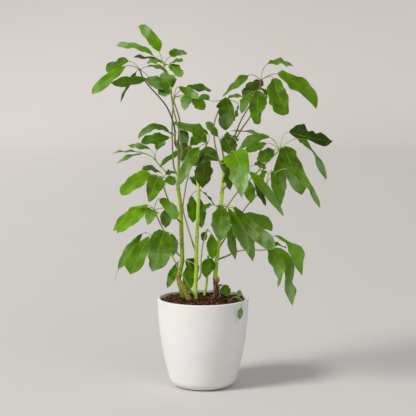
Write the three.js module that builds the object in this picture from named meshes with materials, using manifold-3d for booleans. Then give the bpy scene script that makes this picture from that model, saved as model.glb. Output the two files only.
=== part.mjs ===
// A potted umbrella plant (dwarf schefflera): a smooth white pot filled with bark soil, three green
// stems with a woody cane, and palmate leaves whose leaflets hang from long thin stalks.
// Millimetres, +Z up, origin at the centre of the pot's flat underside. -Y is the side seen first.
import * as THREE from 'three';
import { mergeVertices } from 'three/addons/utils/BufferGeometryUtils.js';
import Module from 'manifold-3d';

const wasm = await Module();
wasm.setup();

// ---------------------------------------------------------------------------------------------
// Driving dimensions
// ---------------------------------------------------------------------------------------------
const POT = {
  height: 255,
  mouthRadius: 130, // outer radius at the lip
  wall: 7,
  lipRound: 3,
  lipBevel: 1, // of the inner edge
  baseRadius: 66, // of the flat underside
  footRound: 32, // radius of the rounded lower edge
  footTurn: 76, // degrees that the lower edge turns through before the side starts
  floor: 8,
  sideBulge: 8.2, // how far the side stands outside the straight line from foot to lip
  sides: 36,
};
const SOIL = { top: 246, mound: 5, relief: 2.2, slack: 1.5, sides: 30, rings: 5 };
const GAP = 0.3; // clear space between pieces that touch
const BLADE = {
  thickness: 1.0,
  segments: 5,
  longFrom: 80, // blades longer than this have one more segment
  stalkRadius: 1.1,
  stalkSegments: 2,
  stalkLead: 0.35, // how far the stalk runs straight into the blade, as a share of its length
  fold: 0.16, // rise of the edges over the midrib, as a share of the half width
  wave: 0.09, // height of the edge waves, as a share of the blade's width
};
const LEAF_SEED = 2000; // each leaf's waves are drawn from this plus its place in the list
const CREEPER_SEED = 3000;
const SOIL_SEED = 4000;
const BASE_SHARE = 0.45; // share of a leaflet's reach that its stalk covers
const HUB_RADIUS = 4.5;
const STALK_RADII = [2.8, 2.1, 2];
const STALK_SIDES = 4;
const THIN_SIDES = 5; // of the creeper and the aerial roots
const ROOT_STEPS = 6;
const CREEPER_STEPS = 12;

// The places below are read as they line up for an eye in front of the plant: x across and z up on
// the plane of the pot's axis, then moved along the line of sight to the stated depth.
const EYE = new THREE.Vector3(14, -3800, 950);
const UP = new THREE.Vector3(0, 0, 1);
const FRONT = new THREE.Vector3(0, -1, 0);
const RIGHT = new THREE.Vector3(1, 0, 0);

// ---------------------------------------------------------------------------------------------
// Places, chosen by hand: stems as [x, z, depth, radius]
// ---------------------------------------------------------------------------------------------
const STEMS = {
  stem_left: [
    [-54, 225, 30, 6.5], [-58, 262, 30, 6.5], [-69, 302, 28, 6.5], [-66, 328, 26, 6],
    [-60, 357, 25, 6], [-61, 420, 22, 5.5], [-64, 520, 18, 5.5], [-71, 577, 15, 5],
    [-69, 620, 10, 4.5], [-68, 676, 5, 4], [-71, 704, 4, 3.5],
  ],
  stem_middle: [
    [-22, 225, 2, 6], [-22, 276, 2, 5.8], [-19, 334, 2, 5.5], [-19, 391, 2, 5.5],
    [-14, 506, 4, 5], [-13, 563, 6, 4.5], [-16, 596, 8, 3.8], [-18, 640, 10, 3],
  ],
  stem_right: [
    [38, 225, 42, 7], [37, 285, 42, 8], [35, 308, 40, 7], [38, 357, 38, 6], [44, 406, 36, 6],
    [48, 443, 34, 5.5], [51, 520, 32, 5.5], [55, 566, 30, 5.5], [58, 606, 28, 5], [61, 640, 26, 4],
  ],
  shoot: [
    [1, 225, 50, 4], [3, 256, 50, 4], [9, 290, 48, 3.6], [13, 325, 45, 3.2], [15, 345, 43, 3],
  ],
};
const STEM_SIDES = 7;
const CANE = [
  [-76, 318, 5, 5], [-69, 304, 2, 7], [-57, 282, -4, 7.5], [-46, 262, -10, 8], [-34, 228, -20, 8],
];
const CANE_RINGS = 5;
const CANE_RING_RISE = 1.1;
const AERIAL_ROOTS = [
  [[40, 296, 34, 2.2], [47, 280, 26, 2.2], [49, 262, 22, 2], [48, 232, 20, 2]],
  [[36, 292, 34, 2], [32, 276, 24, 2], [31, 258, 20, 1.8], [30, 232, 18, 1.8]],
];

// Leaves. stalk: [x, z, depth] from inside its stem to below the hub. A leaflet's row is
// [base x, base z, tip x, tip z, reach, width, arch, face, yaw]: its blade runs from base to tip,
// the tip lies `reach` behind the hub (in front when negative), the blade's middle stands `arch`
// above the straight line, and `face` turns its upper side from straight up (0) to the front (90)
// or to the back (-90), with `yaw` turning that to the right. A last number bows it to one side.
const LEAVES = [
  {
    name: 'leaf_top_left', stem: 'stem_left', hub: [-177, 902, -54],
    stalk: [
      [-68, 676, 5], [-78, 692, -2], [-80, 736, -7],
      [-101, 796, -20], [-157, 863, -39], [-171, 884, -49],
    ],
    leaflets: [
      [-209, 925, -273, 901, 54, 34, 2, 55, 0],
      [-217, 911, -312, 834, -47, 34, 4, 60, 0],
      [-157, 876, -260, 865, -81, 36, -3, -55, 0],
      [-188, 895, -233, 809, 81, 22, 6, -30, 40],
      [-156, 911, -98, 894, -7, 28, 6, 20, 0],
    ],
  },
  {
    name: 'leaf_crown', stem: 'stem_left', hub: [-109, 915, 54],
    stalk: [
      [-71, 698, 4], [-66, 722, 11], [-66, 760, 21],
      [-82, 812, 30], [-94, 845, 39], [-107, 893, 51],
    ],
    leaflets: [
      [-123, 952, -182, 1023, 34, 34, 8, 75, 0, 4],
      [-139, 941, -242, 969, 40, 28, 10, 40, 0],
      [-91, 940, -43, 946, 68, 27, 5, 64, 0],
      [-94, 918, -56, 925, -54, 28, 4, 30, 0],
      [-94, 915, -60, 881, -68, 30, 3, 50, 0],
      [-112, 923, -157, 919, -47, 28, 4, 32, 0],
      [-120, 929, -195, 936, 94, 34, 2, -20, 0],
    ],
  },
  {
    name: 'leaf_upper_left', stem: 'stem_left', hub: [-90, 840, -148],
    stalk: [[-69, 640, 8], [-60, 668, -31], [-66, 722, -83], [-84, 796, -135]],
    leaflets: [
      [-93, 850, -163, 873, -27, 36, 4, 55, 0],
      [-92, 855, -115, 893, 47, 34, 2, 60, 0],
      [-88, 852, -90, 888, 68, 30, 2, 60, 0],
      [-95, 848, -146, 858, -81, 32, 2, 55, 0],
      [-95, 842, -125, 832, -81, 34, 2, 65, 0],
    ],
  },
  {
    name: 'leaf_upper_middle', stem: 'stem_left', hub: [-80, 826, 3],
    stalk: [[-70, 600, 12], [-81, 622, 14], [-86, 676, 17], [-87, 740, 10], [-84, 803, 5]],
    leaflets: [
      [-48, 851, 24, 844, 81, 34, 3, 42, 0],
      [-67, 854, -11, 820, -40, 32, 0, 50, 0],
      [-42, 830, -53, 788, -94, 32, 6, 70, 0],
      [-31, 820, 4, 789, -14, 36, 4, 60, 0],
      [-88, 838, -132, 852, 27, 32, 6, -50, 0],
    ],
  },
  {
    name: 'leaf_upper_centre', stem: 'stem_right', hub: [65, 820, 101],
    stalk: [
      [60, 618, 27], [49, 636, 42], [36, 680, 61],
      [30, 740, 76], [37, 770, 88], [52, 803, 97],
    ],
    leaflets: [
      [62, 824, 62, 732, -47, 48, 6, 75, 0, -12],
      [70, 821, 118, 823, 74, 30, 6, 20, 0],
      [17, 817, -11, 827, 40, 32, 2, 40, 0],
      [100, 800, 84, 758, 81, 30, 2, 60, 60],
      [62, 812, 62, 748, 81, 44, 4, -70, 0],
    ],
  },
  {
    name: 'leaf_upper_right', stem: 'stem_right', hub: [163, 873, 7],
    stalk: [
      [58, 600, 28], [69, 622, 24], [74, 662, 18], [86, 705, 12],
      [106, 758, 8], [134, 806, 5], [157, 848, 5],
    ],
    leaflets: [
      [182, 918, 252, 911, 61, 34, 8, 34, 0],
      [127, 886, 53, 826, -40, 30, 2, 42, 0],
      [210, 890, 318, 792, 34, 44, 18, 55, 0],
      [198, 877, 240, 778, -81, 58, 4, 80, 0, 6],
      [154, 867, 112, 823, 61, 36, 4, -60, 0],
      [160, 873, 146, 838, 108, 38, 6, -60, 0],
    ],
  },
  {
    name: 'leaf_right_inner', stem: 'stem_right', hub: [154, 842, -115],
    stalk: [
      [56, 582, 29], [64, 614, 2], [77, 662, -25], [91, 702, -48],
      [105, 730, -62], [133, 772, -83], [152, 826, -108],
    ],
    leaflets: [
      [154, 842, 152, 748, -68, 50, 4, 85, 0],
      [129, 833, 108, 779, -27, 30, 4, 55, -30],
      [144, 836, 112, 812, 40, 34, 4, 50, 0],
      [162, 846, 182, 820, 40, 28, 6, 40, 30],
    ],
  },
  {
    name: 'leaf_right_outer', stem: 'stem_right', hub: [216, 678, 27],
    stalk: [
      [50, 470, 33], [62, 505, 4], [100, 560, -12],
      [134, 594, -10], [176, 637, 0], [203, 663, 16],
    ],
    leaflets: [
      [187, 712, 101, 679, 14, 38, 10, 42, 0],
      [178, 695, 118, 671, -61, 34, 2, 50, 0],
      [243, 727, 366, 701, 20, 46, -4, 60, 0],
      [273, 707, 348, 592, -34, 24, 20, 50, 30],
      [200, 676, 155, 637, -88, 40, 5, 65, 0],
      [226, 684, 280, 549, -54, 54, 8, 75, 0],
      [217, 671, 215, 503, 68, 40, 4, 80, 0],
      [180, 716, 79, 730, 81, 30, 4, 6, 0],
    ],
  },
  {
    name: 'leaf_right_drooping', stem: 'stem_right', hub: [180, 583, -81],
    stalk: [[43, 391, 36], [54, 411, 39], [76, 446, 31], [118, 509, 5], [152, 549, -46]],
    leaflets: [
      [234, 623, 332, 512, -54, 34, 24, 50, 0],
      [194, 617, 220, 526, -27, 28, 4, 70, 0],
      [181, 612, 161, 592, 40, 28, 4, 50, 0],
    ],
  },
  {
    name: 'leaf_right_front', stem: 'stem_right', hub: [121, 625, -162],
    stalk: [[54, 562, 30], [66, 574, -12], [88, 600, -81], [110, 616, -143]],
    leaflets: [
      [133, 614, 228, 489, -40, 28, 6, 45, 0],
      [141, 596, 178, 517, 27, 30, 2, 60, 40],
      [126, 590, 137, 525, -27, 32, 4, 70, 0],
      [146, 634, 178, 624, 40, 32, 4, 40, 0],
    ],
  },
  {
    name: 'leaf_centre_big', stem: 'stem_right', hub: [70, 648, -202],
    stalk: [[59, 614, 27], [50, 632, -24], [52, 646, -106], [62, 648, -178]],
    leaflets: [
      [87, 671, 109, 540, -74, 72, 6, 85, 0, -8],
      [68, 630, 76, 562, 54, 32, 4, 60, 20],
      [62, 652, 74, 600, 68, 36, 6, -50, 0],
      [41, 645, -33, 632, 125, 48, 24, 62, 0],
    ],
  },
  {
    name: 'leaf_centre', stem: 'stem_middle', hub: [11, 695, -81],
    stalk: [[-16, 610, 8], [-12, 640, -25], [0, 672, -59]],
    leaflets: [
      [10, 698, -34, 739, -27, 38, 2, 55, 0],
      [2, 716, -87, 755, 40, 28, 2, 40, 0],
      [14, 720, -42, 750, 81, 28, 4, 20, 0],
      [-11, 684, -71, 573, -68, 36, 8, 60, 0],
      [6, 655, -2, 567, 88, 52, 6, -75, 0],
    ],
  },
  {
    name: 'leaf_centre_right', stem: 'stem_right', hub: [49, 702, -14],
    stalk: [[61, 634, 26], [58, 656, 25], [54, 678, 5]],
    leaflets: [
      [42, 715, 6, 753, -54, 32, 2, 50, 0],
      [60, 714, 84, 660, -61, 46, 6, 75, 0],
      [62, 714, 98, 700, 101, 34, 10, 25, 0],
    ],
  },
  {
    name: 'leaf_centre_left', stem: 'stem_middle', hub: [-40, 679, 81],
    stalk: [
      [-19, 374, 2], [-23, 391, 29], [-37, 434, 62], [-48, 472, 77],
      [-57, 510, 82], [-50, 566, 86], [-40, 620, 86],
    ],
    leaflets: [
      [-50, 680, -124, 628, -14, 28, 4, 22, 20],
      [-45, 688, -68, 713, -27, 34, 2, 55, 0],
      [-35, 689, -6, 708, 40, 34, 4, 50, 0],
      [-42, 690, -60, 640, 94, 40, 14, -50, 0],
    ],
  },
  {
    name: 'leaf_left_upper', stem: 'stem_left', hub: [-80, 722, -40],
    stalk: [[-68, 658, 6], [-70, 676, -12], [-78, 706, -32]],
    leaflets: [
      [-96, 728, -184, 708, -14, 28, 22, 40, 0],
      [-95, 712, -175, 696, -81, 38, 3, 55, 0],
      [-92, 722, -106, 728, -55, 26, 2, 40, 0],
      [-70, 728, -44, 694, -4, 32, 6, 60, 0],
    ],
  },
  {
    name: 'leaf_left_pale', stem: 'stem_left', hub: [-136, 651, 81],
    stalk: [[-71, 572, 15], [-84, 590, 42], [-112, 622, 66], [-127, 638, 77]],
    leaflets: [
      [-151, 679, -212, 689, 40, 30, 2, 28, 0],
      [-171, 669, -257, 667, -27, 26, 4, 6, 0],
      [-172, 666, -243, 638, -68, 26, 5, 10, 0],
      [-131, 677, -112, 703, 54, 32, 4, 40, 0],
    ],
  },
  {
    name: 'leaf_left_mid', stem: 'stem_left', hub: [-116, 596, -68],
    stalk: [[-65, 470, 20], [-80, 492, -7], [-99, 536, -33], [-112, 574, -59]],
    leaflets: [
      [-147, 607, -232, 549, -34, 42, 8, 60, 0],
      [-126, 600, -153, 529, -61, 48, 6, 80, 0],
      [-105, 606, -79, 612, 40, 26, 4, 25, 0],
      [-104, 598, -82, 576, -54, 32, 4, 55, 0],
      [-120, 612, -173, 621, 61, 32, 6, -42, 0],
    ],
  },
  {
    name: 'leaf_left_lower', stem: 'stem_left', hub: [-139, 505, -40],
    stalk: [[-60, 370, 24], [-72, 380, 23], [-92, 411, 12], [-113, 449, -3], [-132, 489, -27]],
    leaflets: [
      [-155, 519, -256, 446, 34, 36, 8, 60, 0],
      [-153, 512, -245, 440, -54, 38, 6, 55, 0],
      [-143, 506, -156, 462, -74, 42, 6, 75, 0],
      [-121, 538, -76, 480, -27, 32, 4, 60, 0],
      [-104, 508, -106, 454, 47, 34, 6, 60, 0],
    ],
  },
  {
    name: 'leaf_left_lowest', stem: 'stem_middle', hub: [-128, 426, -81],
    stalk: [
      [-22, 256, 2], [-33, 270, -25], [-50, 302, -47],
      [-68, 334, -62], [-93, 383, -72], [-118, 415, -80],
    ],
    leaflets: [
      [-174, 437, -243, 334, 34, 32, 3, 55, 0],
      [-154, 430, -207, 321, -47, 46, 5, 60, 0],
      [-110, 446, -146, 329, -88, 76, 2, 85, 0],
      [-90, 438, -84, 374, -27, 34, 4, 60, 30],
      [-112, 436, -90, 372, 54, 36, 8, -40, 0],
    ],
  },
  {
    name: 'leaf_middle_small', stem: 'stem_middle', hub: [-9, 563, 61],
    stalk: [[-14, 548, 6], [-12, 556, 30], [-10, 561, 51]],
    leaflets: [
      [-33, 546, -28, 469, -7, 32, 4, 75, 0],
      [-8, 536, -5, 454, 27, 30, 4, 75, 0],
      [-2, 558, 34, 517, 27, 26, 3, 15, 0],
      [-12, 568, -30, 600, 81, 36, 10, 30, 0],
    ],
  },
  {
    name: 'leaf_centre_low', stem: 'stem_right', hub: [40, 517, -94],
    stalk: [[51, 500, 32], [47, 506, -20], [43, 513, -65]],
    leaflets: [
      [51, 518, 50, 417, -74, 54, 6, 85, 0],
      [72, 511, 131, 381, -34, 36, 4, 60, 0],
      [88, 514, 202, 394, -81, 42, -6, 60, 0],
      [108, 488, 197, 449, 81, 42, 8, 45, 0],
      [118, 488, 141, 358, 20, 34, 4, 60, 20],
      [66, 480, 92, 363, 74, 30, 2, 65, 20],
      [25, 520, -3, 501, 27, 26, 4, 35, 0],
    ],
  },
  {
    name: 'leaf_right_low', stem: 'stem_right', hub: [185, 393, -27],
    stalk: [
      [38, 362, 38], [52, 368, 34], [70, 375, 24],
      [92, 386, 15], [128, 392, 0], [166, 391, -22],
    ],
    leaflets: [
      [206, 432, 283, 318, 34, 36, 12, 55, 0, -14],
      [199, 396, 256, 230, -27, 40, 14, 60, 0, -16],
      [188, 394, 212, 283, -81, 42, 4, 75, 0, -13],
      [190, 400, 236, 396, 101, 34, 8, 20, 0],
    ],
  },
  {
    name: 'leaf_inner_low', stem: 'stem_middle', hub: [12, 449, -16],
    stalk: [[-20, 300, 2], [-8, 318, -16], [-6, 357, -19], [-1, 406, -19], [6, 430, -18]],
    leaflets: [
      [24, 437, 27, 364, 7, 32, 3, 75, 0],
      [11, 443, -2, 418, 40, 22, 2, 60, 0],
    ],
  },
  {
    name: 'leaf_inner_lowest', stem: 'shoot', hub: [14, 372, 20],
    stalk: [[15, 335, 44], [15, 350, 34], [14, 364, 24]],
    leaflets: [
      [12, 366, 8, 311, -20, 37, 4, 80, 0],
      [18, 368, 26, 330, 5, 26, 2, 70, 0],
    ],
  },
  {
    name: 'leaf_base_left', stem: 'stem_middle', hub: [-46, 360, 81],
    stalk: [[-19, 345, 2], [-26, 352, 35], [-38, 358, 68]],
    leaflets: [
      [-40, 350, -42, 272, -14, 36, 4, 80, 0],
      [-72, 357, -102, 282, 14, 26, 1, 45, 20],
      [-44, 366, -20, 310, 94, 38, 10, -60, 0],
    ],
  },
  {
    name: 'leaf_base_right', stem: 'stem_right', hub: [50, 290, 38],
    stalk: [[37, 284, 42], [45, 290, 41]],
    leaflets: [
      [54, 286, 72, 257, -24, 30, 4, 55, 0],
      [58, 290, 68, 264, 12, 26, 3, 50, 0],
    ],
  },
];

// A small weed that has seeded itself at the edge of the soil and hangs over the lip. A leaflet's row
// is [root x, root z, tip x, tip z, root depth, tip depth, width, arch, face].
const CREEPER = {
  stalkShare: 0.15,
  stem: [
    [68, 226, -50, 1.2], [73, 240, -53, 1.2], [86, 255, -62, 1.1], [104, 252, -80, 1], [112, 242, -92, 0.9],
    [110, 230, -98, 0.9],
  ],
  leaflets: [
    [110, 231, 104, 190, -98, -104, 15, 2, 85],
    [98, 254, 110, 270, -73, -66, 18, 3, 75],
  ],
};

// ---------------------------------------------------------------------------------------------
// Materials
// ---------------------------------------------------------------------------------------------
const material = (color, roughness) => new THREE.MeshStandardMaterial({ color, roughness, metalness: 0 });
const MATERIALS = {
  pot: material(0xeceae6, 0.6),
  soil: material(0x3c251a, 1.0),
  stem: material(0x8cb53a, 0.6),
  bark: material(0x9c7a4a, 0.9),
  root: material(0xc4a37c, 0.8),
  leaf: material(0x3f7a1c, 0.45),
  weed: material(0x6f9a3c, 0.6),
};

// ---------------------------------------------------------------------------------------------
// Solids
// ---------------------------------------------------------------------------------------------
let seed = 0;
function draw() {
  seed = (Math.imul(seed, 1664525) + 1013904223) >>> 0;
  return seed / 4294967296;
}

function seen(x, z, depth) {
  return new THREE.Vector3(x, 0, z).sub(EYE).multiplyScalar((depth - EYE.y) / -EYE.y).add(EYE);
}

function toSolid(geometry) {
  const bare = geometry.clone();
  bare.deleteAttribute('normal');
  bare.deleteAttribute('uv');
  const merged = mergeVertices(bare, 1e-4);
  return new wasm.Manifold(new wasm.Mesh({
    numProp: 3,
    vertProperties: new Float32Array(merged.attributes.position.array),
    triVerts: new Uint32Array(merged.index.array),
  }));
}

function toGeometry(solid) {
  const { vertProperties, triVerts } = solid.getMesh();
  const geometry = new THREE.BufferGeometry();
  geometry.setAttribute('position', new THREE.BufferAttribute(vertProperties, 3));
  geometry.setIndex(new THREE.BufferAttribute(triVerts, 1));
  geometry.computeVertexNormals();
  return geometry;
}

function closedGeometry(points, triangles) {
  const geometry = new THREE.BufferGeometry();
  geometry.setAttribute('position', new THREE.Float32BufferAttribute(points.flatMap((p) => p.toArray()), 3));
  geometry.setIndex(triangles);
  return geometry;
}

// A round tube along a smooth curve through the points, its radius going from one to the next.
function taperedTube(points, radii, sides, steps) {
  const curve = new THREE.CatmullRomCurve3(points, false, 'centripetal');
  const frames = curve.computeFrenetFrames(steps, false);
  const ring = [];
  for (let i = 0; i <= steps; i += 1) {
    const along = i / steps;
    const place = along * (radii.length - 1);
    const before = Math.min(Math.floor(place), radii.length - 2);
    const radius = THREE.MathUtils.lerp(radii[before], radii[before + 1], place - before);
    const centre = curve.getPointAt(along);
    for (let k = 0; k < sides; k += 1) {
      const angle = (k / sides) * 2 * Math.PI;
      ring.push(centre.clone()
        .addScaledVector(frames.normals[i], radius * Math.cos(angle))
        .addScaledVector(frames.binormals[i], radius * Math.sin(angle)));
    }
  }
  const triangles = [];
  for (let i = 0; i < steps; i += 1) {
    for (let k = 0; k < sides; k += 1) {
      const a = i * sides + k;
      const b = i * sides + (k + 1) % sides;
      triangles.push(a, b, b + sides, a, b + sides, a + sides);
    }
  }
  const last = steps * sides;
  for (let k = 1; k < sides - 1; k += 1) {
    triangles.push(0, k + 1, k, last, last + k, last + k + 1);
  }
  return toSolid(closedGeometry(ring, triangles));
}

// A leaflet as one closed solid: a thin square stalk from the root to the base, then a waved blade of
// even thickness with a line of points on each edge and on the midrib. Both faces are split alike.
function leaflet(root, base, tip, width, arch, bow, look) {
  const across = tip.clone().sub(base).cross(look).normalize();
  const middle = base.clone().lerp(tip, 0.5).addScaledVector(UP, 2 * arch).addScaledVector(across, 2 * bow);
  const curve = new THREE.QuadraticBezierCurve3(base, middle, tip);
  const segments = base.distanceTo(tip) > BLADE.longFrom ? BLADE.segments + 1 : BLADE.segments;
  const phases = [draw(), draw()];
  const waves = 1.6 + 1.2 * draw();
  const height = BLADE.wave * width * (0.7 + 0.6 * draw());

  const lead = base.clone().addScaledVector(curve.getTangent(0), -BLADE.stalkLead * root.distanceTo(base));
  const stalk = new THREE.QuadraticBezierCurve3(root, lead, base);
  const rows = [];
  for (let i = 0; i <= BLADE.stalkSegments; i += 1) {
    rows.push(stalkRow(stalk, i / BLADE.stalkSegments, look));
  }
  for (let i = 1; i < segments; i += 1) {
    const along = i / segments;
    const { centre, normal, side } = frameAt(curve, along, look);
    const half = 0.5 * width * outline(along);
    const edges = [-1, 1].map((sign, k) => {
      const wave = Math.sin(2 * Math.PI * (waves * along + phases[k]));
      return centre.clone()
        .addScaledVector(side, sign * half)
        .addScaledVector(normal, BLADE.fold * half + height * outline(along) * wave);
    });
    rows.push({ normal, half: 0.5 * BLADE.thickness, points: [edges[0], centre, edges[1]] });
  }
  const end = frameAt(curve, 1, look);
  rows.push({ normal: end.normal, half: 0.5 * BLADE.thickness, points: [end.centre] });
  return skinned(rows);
}

function frameAt(curve, along, look) {
  const centre = curve.getPoint(along);
  const tangent = curve.getTangent(along);
  const normal = look.clone().addScaledVector(tangent, -look.dot(tangent)).normalize();
  return { centre, normal, side: tangent.clone().cross(normal) };
}

function stalkRow(stalk, along, look) {
  const { centre, normal, side } = frameAt(stalk, along, look);
  const points = [-1, 1].map((sign) => centre.clone().addScaledVector(side, sign * BLADE.stalkRadius));
  return { normal, half: BLADE.stalkRadius, points };
}

// Joins rows of two, three or one points into a closed solid with a face on each side of them.
function skinned(rows) {
  const points = [];
  const starts = [];
  for (const face of [1, -1]) {
    for (const row of rows) {
      if (face === 1) {
        starts.push(points.length);
      }
      for (const point of row.points) {
        points.push(point.clone().addScaledVector(row.normal, face * row.half));
      }
    }
  }
  const perFace = points.length / 2;
  const skin = [];
  for (let i = 0; i < rows.length - 1; i += 1) {
    const [a, b] = [starts[i], starts[i + 1]];
    const [from, to] = [rows[i].points.length, rows[i + 1].points.length];
    if (from === to) {
      for (let k = 0; k < from - 1; k += 1) {
        skin.push([a + k, a + k + 1, b + k + 1], [a + k, b + k + 1, b + k]);
      }
    } else if (from === 2) {
      skin.push([a, a + 1, b + 1], [a, b + 1, b], [a + 1, b + 2, b + 1]);
    } else {
      skin.push([a, a + 1, b], [a + 1, a + 2, b]);
    }
  }
  const left = rows.map((row, i) => starts[i]);
  const right = rows.slice(0, -1).map((row, i) => starts[i] + row.points.length - 1);
  const rim = [...left, ...right.reverse()];
  const triangles = skin.flatMap(([a, b, c]) => [a, b, c, a + perFace, c + perFace, b + perFace]);
  rim.forEach((a, i) => {
    const b = rim[(i + 1) % rim.length];
    triangles.push(a, b, b + perFace, a, b + perFace, a + perFace);
  });
  return toSolid(closedGeometry(points, triangles));
}

// Half width of a leaflet along its length, 0 to 1: narrow root, widest past the middle, short tip.
function outline(along) {
  return 0.1 + 0.9 * Math.sin(Math.PI * along ** 1.1) ** 0.75;
}

function lookVector(face, yaw) {
  const lean = THREE.MathUtils.degToRad(face);
  const turn = THREE.MathUtils.degToRad(yaw);
  return UP.clone().multiplyScalar(Math.cos(lean))
    .addScaledVector(FRONT, Math.sin(lean) * Math.cos(turn))
    .addScaledVector(RIGHT, Math.sin(lean) * Math.sin(turn));
}

function leaf(plan, index) {
  seed = LEAF_SEED + index;
  const [hubX, hubZ, hubDepth] = plan.hub;
  const hub = seen(hubX, hubZ, hubDepth);
  const stalkPoints = [...plan.stalk.map((place) => seen(...place)), hub];
  const steps = Math.max(4, 2 * stalkPoints.length - 3);
  const knob = new THREE.OctahedronGeometry(HUB_RADIUS).translate(hub.x, hub.y, hub.z);
  let solid = taperedTube(stalkPoints, STALK_RADII, STALK_SIDES, steps).add(toSolid(knob));
  for (const [baseX, baseZ, tipX, tipZ, reach, width, arch, face, yaw, bow = 0] of plan.leaflets) {
    const base = seen(baseX, baseZ, hubDepth + BASE_SHARE * reach);
    const tip = seen(tipX, tipZ, hubDepth + reach);
    solid = solid.add(leaflet(hub, base, tip, width, arch, bow, lookVector(face, yaw)));
  }
  return solid.subtract(stems[plan.stem].clearance);
}

function stemSolid(places, extra) {
  const points = places.map(([x, z, depth]) => seen(x, z, depth));
  const radii = places.map((place) => place[3] + extra);
  return taperedTube(points, radii, STEM_SIDES, Math.round(1.5 * places.length));
}

function rootSolid(places, extra) {
  const points = places.map(([x, z, depth]) => seen(x, z, depth));
  return taperedTube(points, places.map((place) => place[3] + extra), THIN_SIDES, ROOT_STEPS);
}

// The cane is a length of old wood with a ring at each former leaf.
function caneSolid(extra) {
  const points = CANE.map(([x, z, depth]) => seen(x, z, depth));
  const steps = CANE_RINGS * 3;
  const radii = [];
  for (let i = 0; i <= steps; i += 1) {
    const place = (i / steps) * (CANE.length - 1);
    const before = Math.min(Math.floor(place), CANE.length - 2);
    const plain = THREE.MathUtils.lerp(CANE[before][3], CANE[before + 1][3], place - before);
    radii.push(plain + extra + (i % 3 === 1 ? CANE_RING_RISE : 0));
  }
  return taperedTube(points, radii, STEM_SIDES, steps);
}

function creeperStem(places, extra) {
  const points = places.map(([x, z, depth]) => seen(x, z, depth));
  return taperedTube(points, places.map((place) => place[3] + extra), THIN_SIDES, CREEPER_STEPS);
}

function creeperSolid() {
  seed = CREEPER_SEED;
  let solid = creeperStem(CREEPER.stem, 0);
  for (const [rootX, rootZ, tipX, tipZ, rootDepth, tipDepth, width, arch, face] of CREEPER.leaflets) {
    const root = seen(rootX, rootZ, rootDepth);
    const tip = seen(tipX, tipZ, tipDepth);
    const base = root.clone().lerp(tip, CREEPER.stalkShare);
    solid = solid.add(leaflet(root, base, tip, width, arch, 0, lookVector(face, 0)));
  }
  return solid;
}

// A point on the pot's rounded lower edge, as [radius, z], after turning through the given degrees.
function footPoint(degrees) {
  const turn = THREE.MathUtils.degToRad(degrees);
  return [POT.baseRadius + POT.footRound * Math.sin(turn), POT.footRound * (1 - Math.cos(turn))];
}

// Outer radius of the pot's side at height z, from the lower edge to the lip.
function potRadius(z) {
  const [footRadius, footTop] = footPoint(POT.footTurn);
  const along = (z - footTop) / (POT.height - footTop);
  return THREE.MathUtils.lerp(footRadius, POT.mouthRadius, along) + POT.sideBulge * Math.sin(Math.PI * along);
}

function potSolid() {
  const [, footTop] = footPoint(POT.footTurn);
  const lipTop = POT.height - POT.lipRound;
  const inner = POT.mouthRadius - POT.wall;
  const corners = [[0, 0]];
  for (const share of [0, 0.25, 0.5, 0.75, 1]) {
    corners.push(footPoint(POT.footTurn * share));
  }
  for (const share of [0.25, 0.5, 0.75]) {
    const z = THREE.MathUtils.lerp(footTop, lipTop, share);
    corners.push([potRadius(z), z]);
  }
  corners.push([POT.mouthRadius, lipTop], [POT.mouthRadius - POT.lipRound, POT.height]);
  corners.push([inner + POT.lipBevel, POT.height], [inner, lipTop]);
  corners.push([potRadius(0.5 * POT.height) - POT.wall, 0.5 * POT.height]);
  corners.push([potRadius(footTop) - POT.wall, footTop + POT.floor]);
  corners.push([POT.baseRadius + POT.floor, POT.floor], [0, POT.floor]);
  const profile = corners.map(([radius, z]) => new THREE.Vector2(radius, z));
  return new THREE.LatheGeometry(profile, POT.sides).rotateX(Math.PI / 2);
}

// Soil fills the pot; its top is heaped towards the middle and broken by chips of bark.
function soilSolid(holes) {
  seed = SOIL_SEED;
  const [, footTop] = footPoint(POT.footTurn);
  const inset = POT.wall + GAP + SOIL.slack;
  const rings = [
    [POT.baseRadius + POT.floor - SOIL.slack, POT.floor + GAP],
    [potRadius(footTop) - inset, footTop + POT.floor],
    [potRadius(0.5 * POT.height) - inset, 0.5 * POT.height],
  ];
  const edge = POT.mouthRadius - inset;
  const edgeRow = rings.length;
  for (let i = 0; i < SOIL.rings; i += 1) {
    const inward = i / SOIL.rings;
    rings.push([edge * (1 - inward), SOIL.top + SOIL.mound * Math.sin(inward * (Math.PI / 2))]);
  }
  const points = [new THREE.Vector3(0, 0, POT.floor + GAP)];
  rings.forEach(([radius, z], row) => {
    for (let k = 0; k < SOIL.sides; k += 1) {
      const angle = (k / SOIL.sides) * 2 * Math.PI;
      const rough = row > edgeRow ? SOIL.relief * (2 * draw() - 1) : 0;
      points.push(new THREE.Vector3(radius * Math.cos(angle), radius * Math.sin(angle), z + rough));
    }
  });
  points.push(new THREE.Vector3(0, 0, SOIL.top + SOIL.mound));
  const triangles = [];
  const top = points.length - 1;
  const first = (row) => 1 + row * SOIL.sides;
  for (let k = 0; k < SOIL.sides; k += 1) {
    const next = (k + 1) % SOIL.sides;
    triangles.push(0, first(0) + next, first(0) + k);
    triangles.push(top, first(rings.length - 1) + k, first(rings.length - 1) + next);
    for (let row = 0; row < rings.length - 1; row += 1) {
      const a = first(row) + k;
      const b = first(row) + next;
      triangles.push(a, b, b + SOIL.sides, a, b + SOIL.sides, a + SOIL.sides);
    }
  }
  let solid = toSolid(closedGeometry(points, triangles));
  for (const hole of holes) {
    solid = solid.subtract(hole);
  }
  return solid;
}

// ---------------------------------------------------------------------------------------------
// The plant
// ---------------------------------------------------------------------------------------------
const plant = new THREE.Group();

function add(name, geometry, finish) {
  const mesh = new THREE.Mesh(geometry, finish);
  mesh.name = name;
  plant.add(mesh);
}

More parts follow.
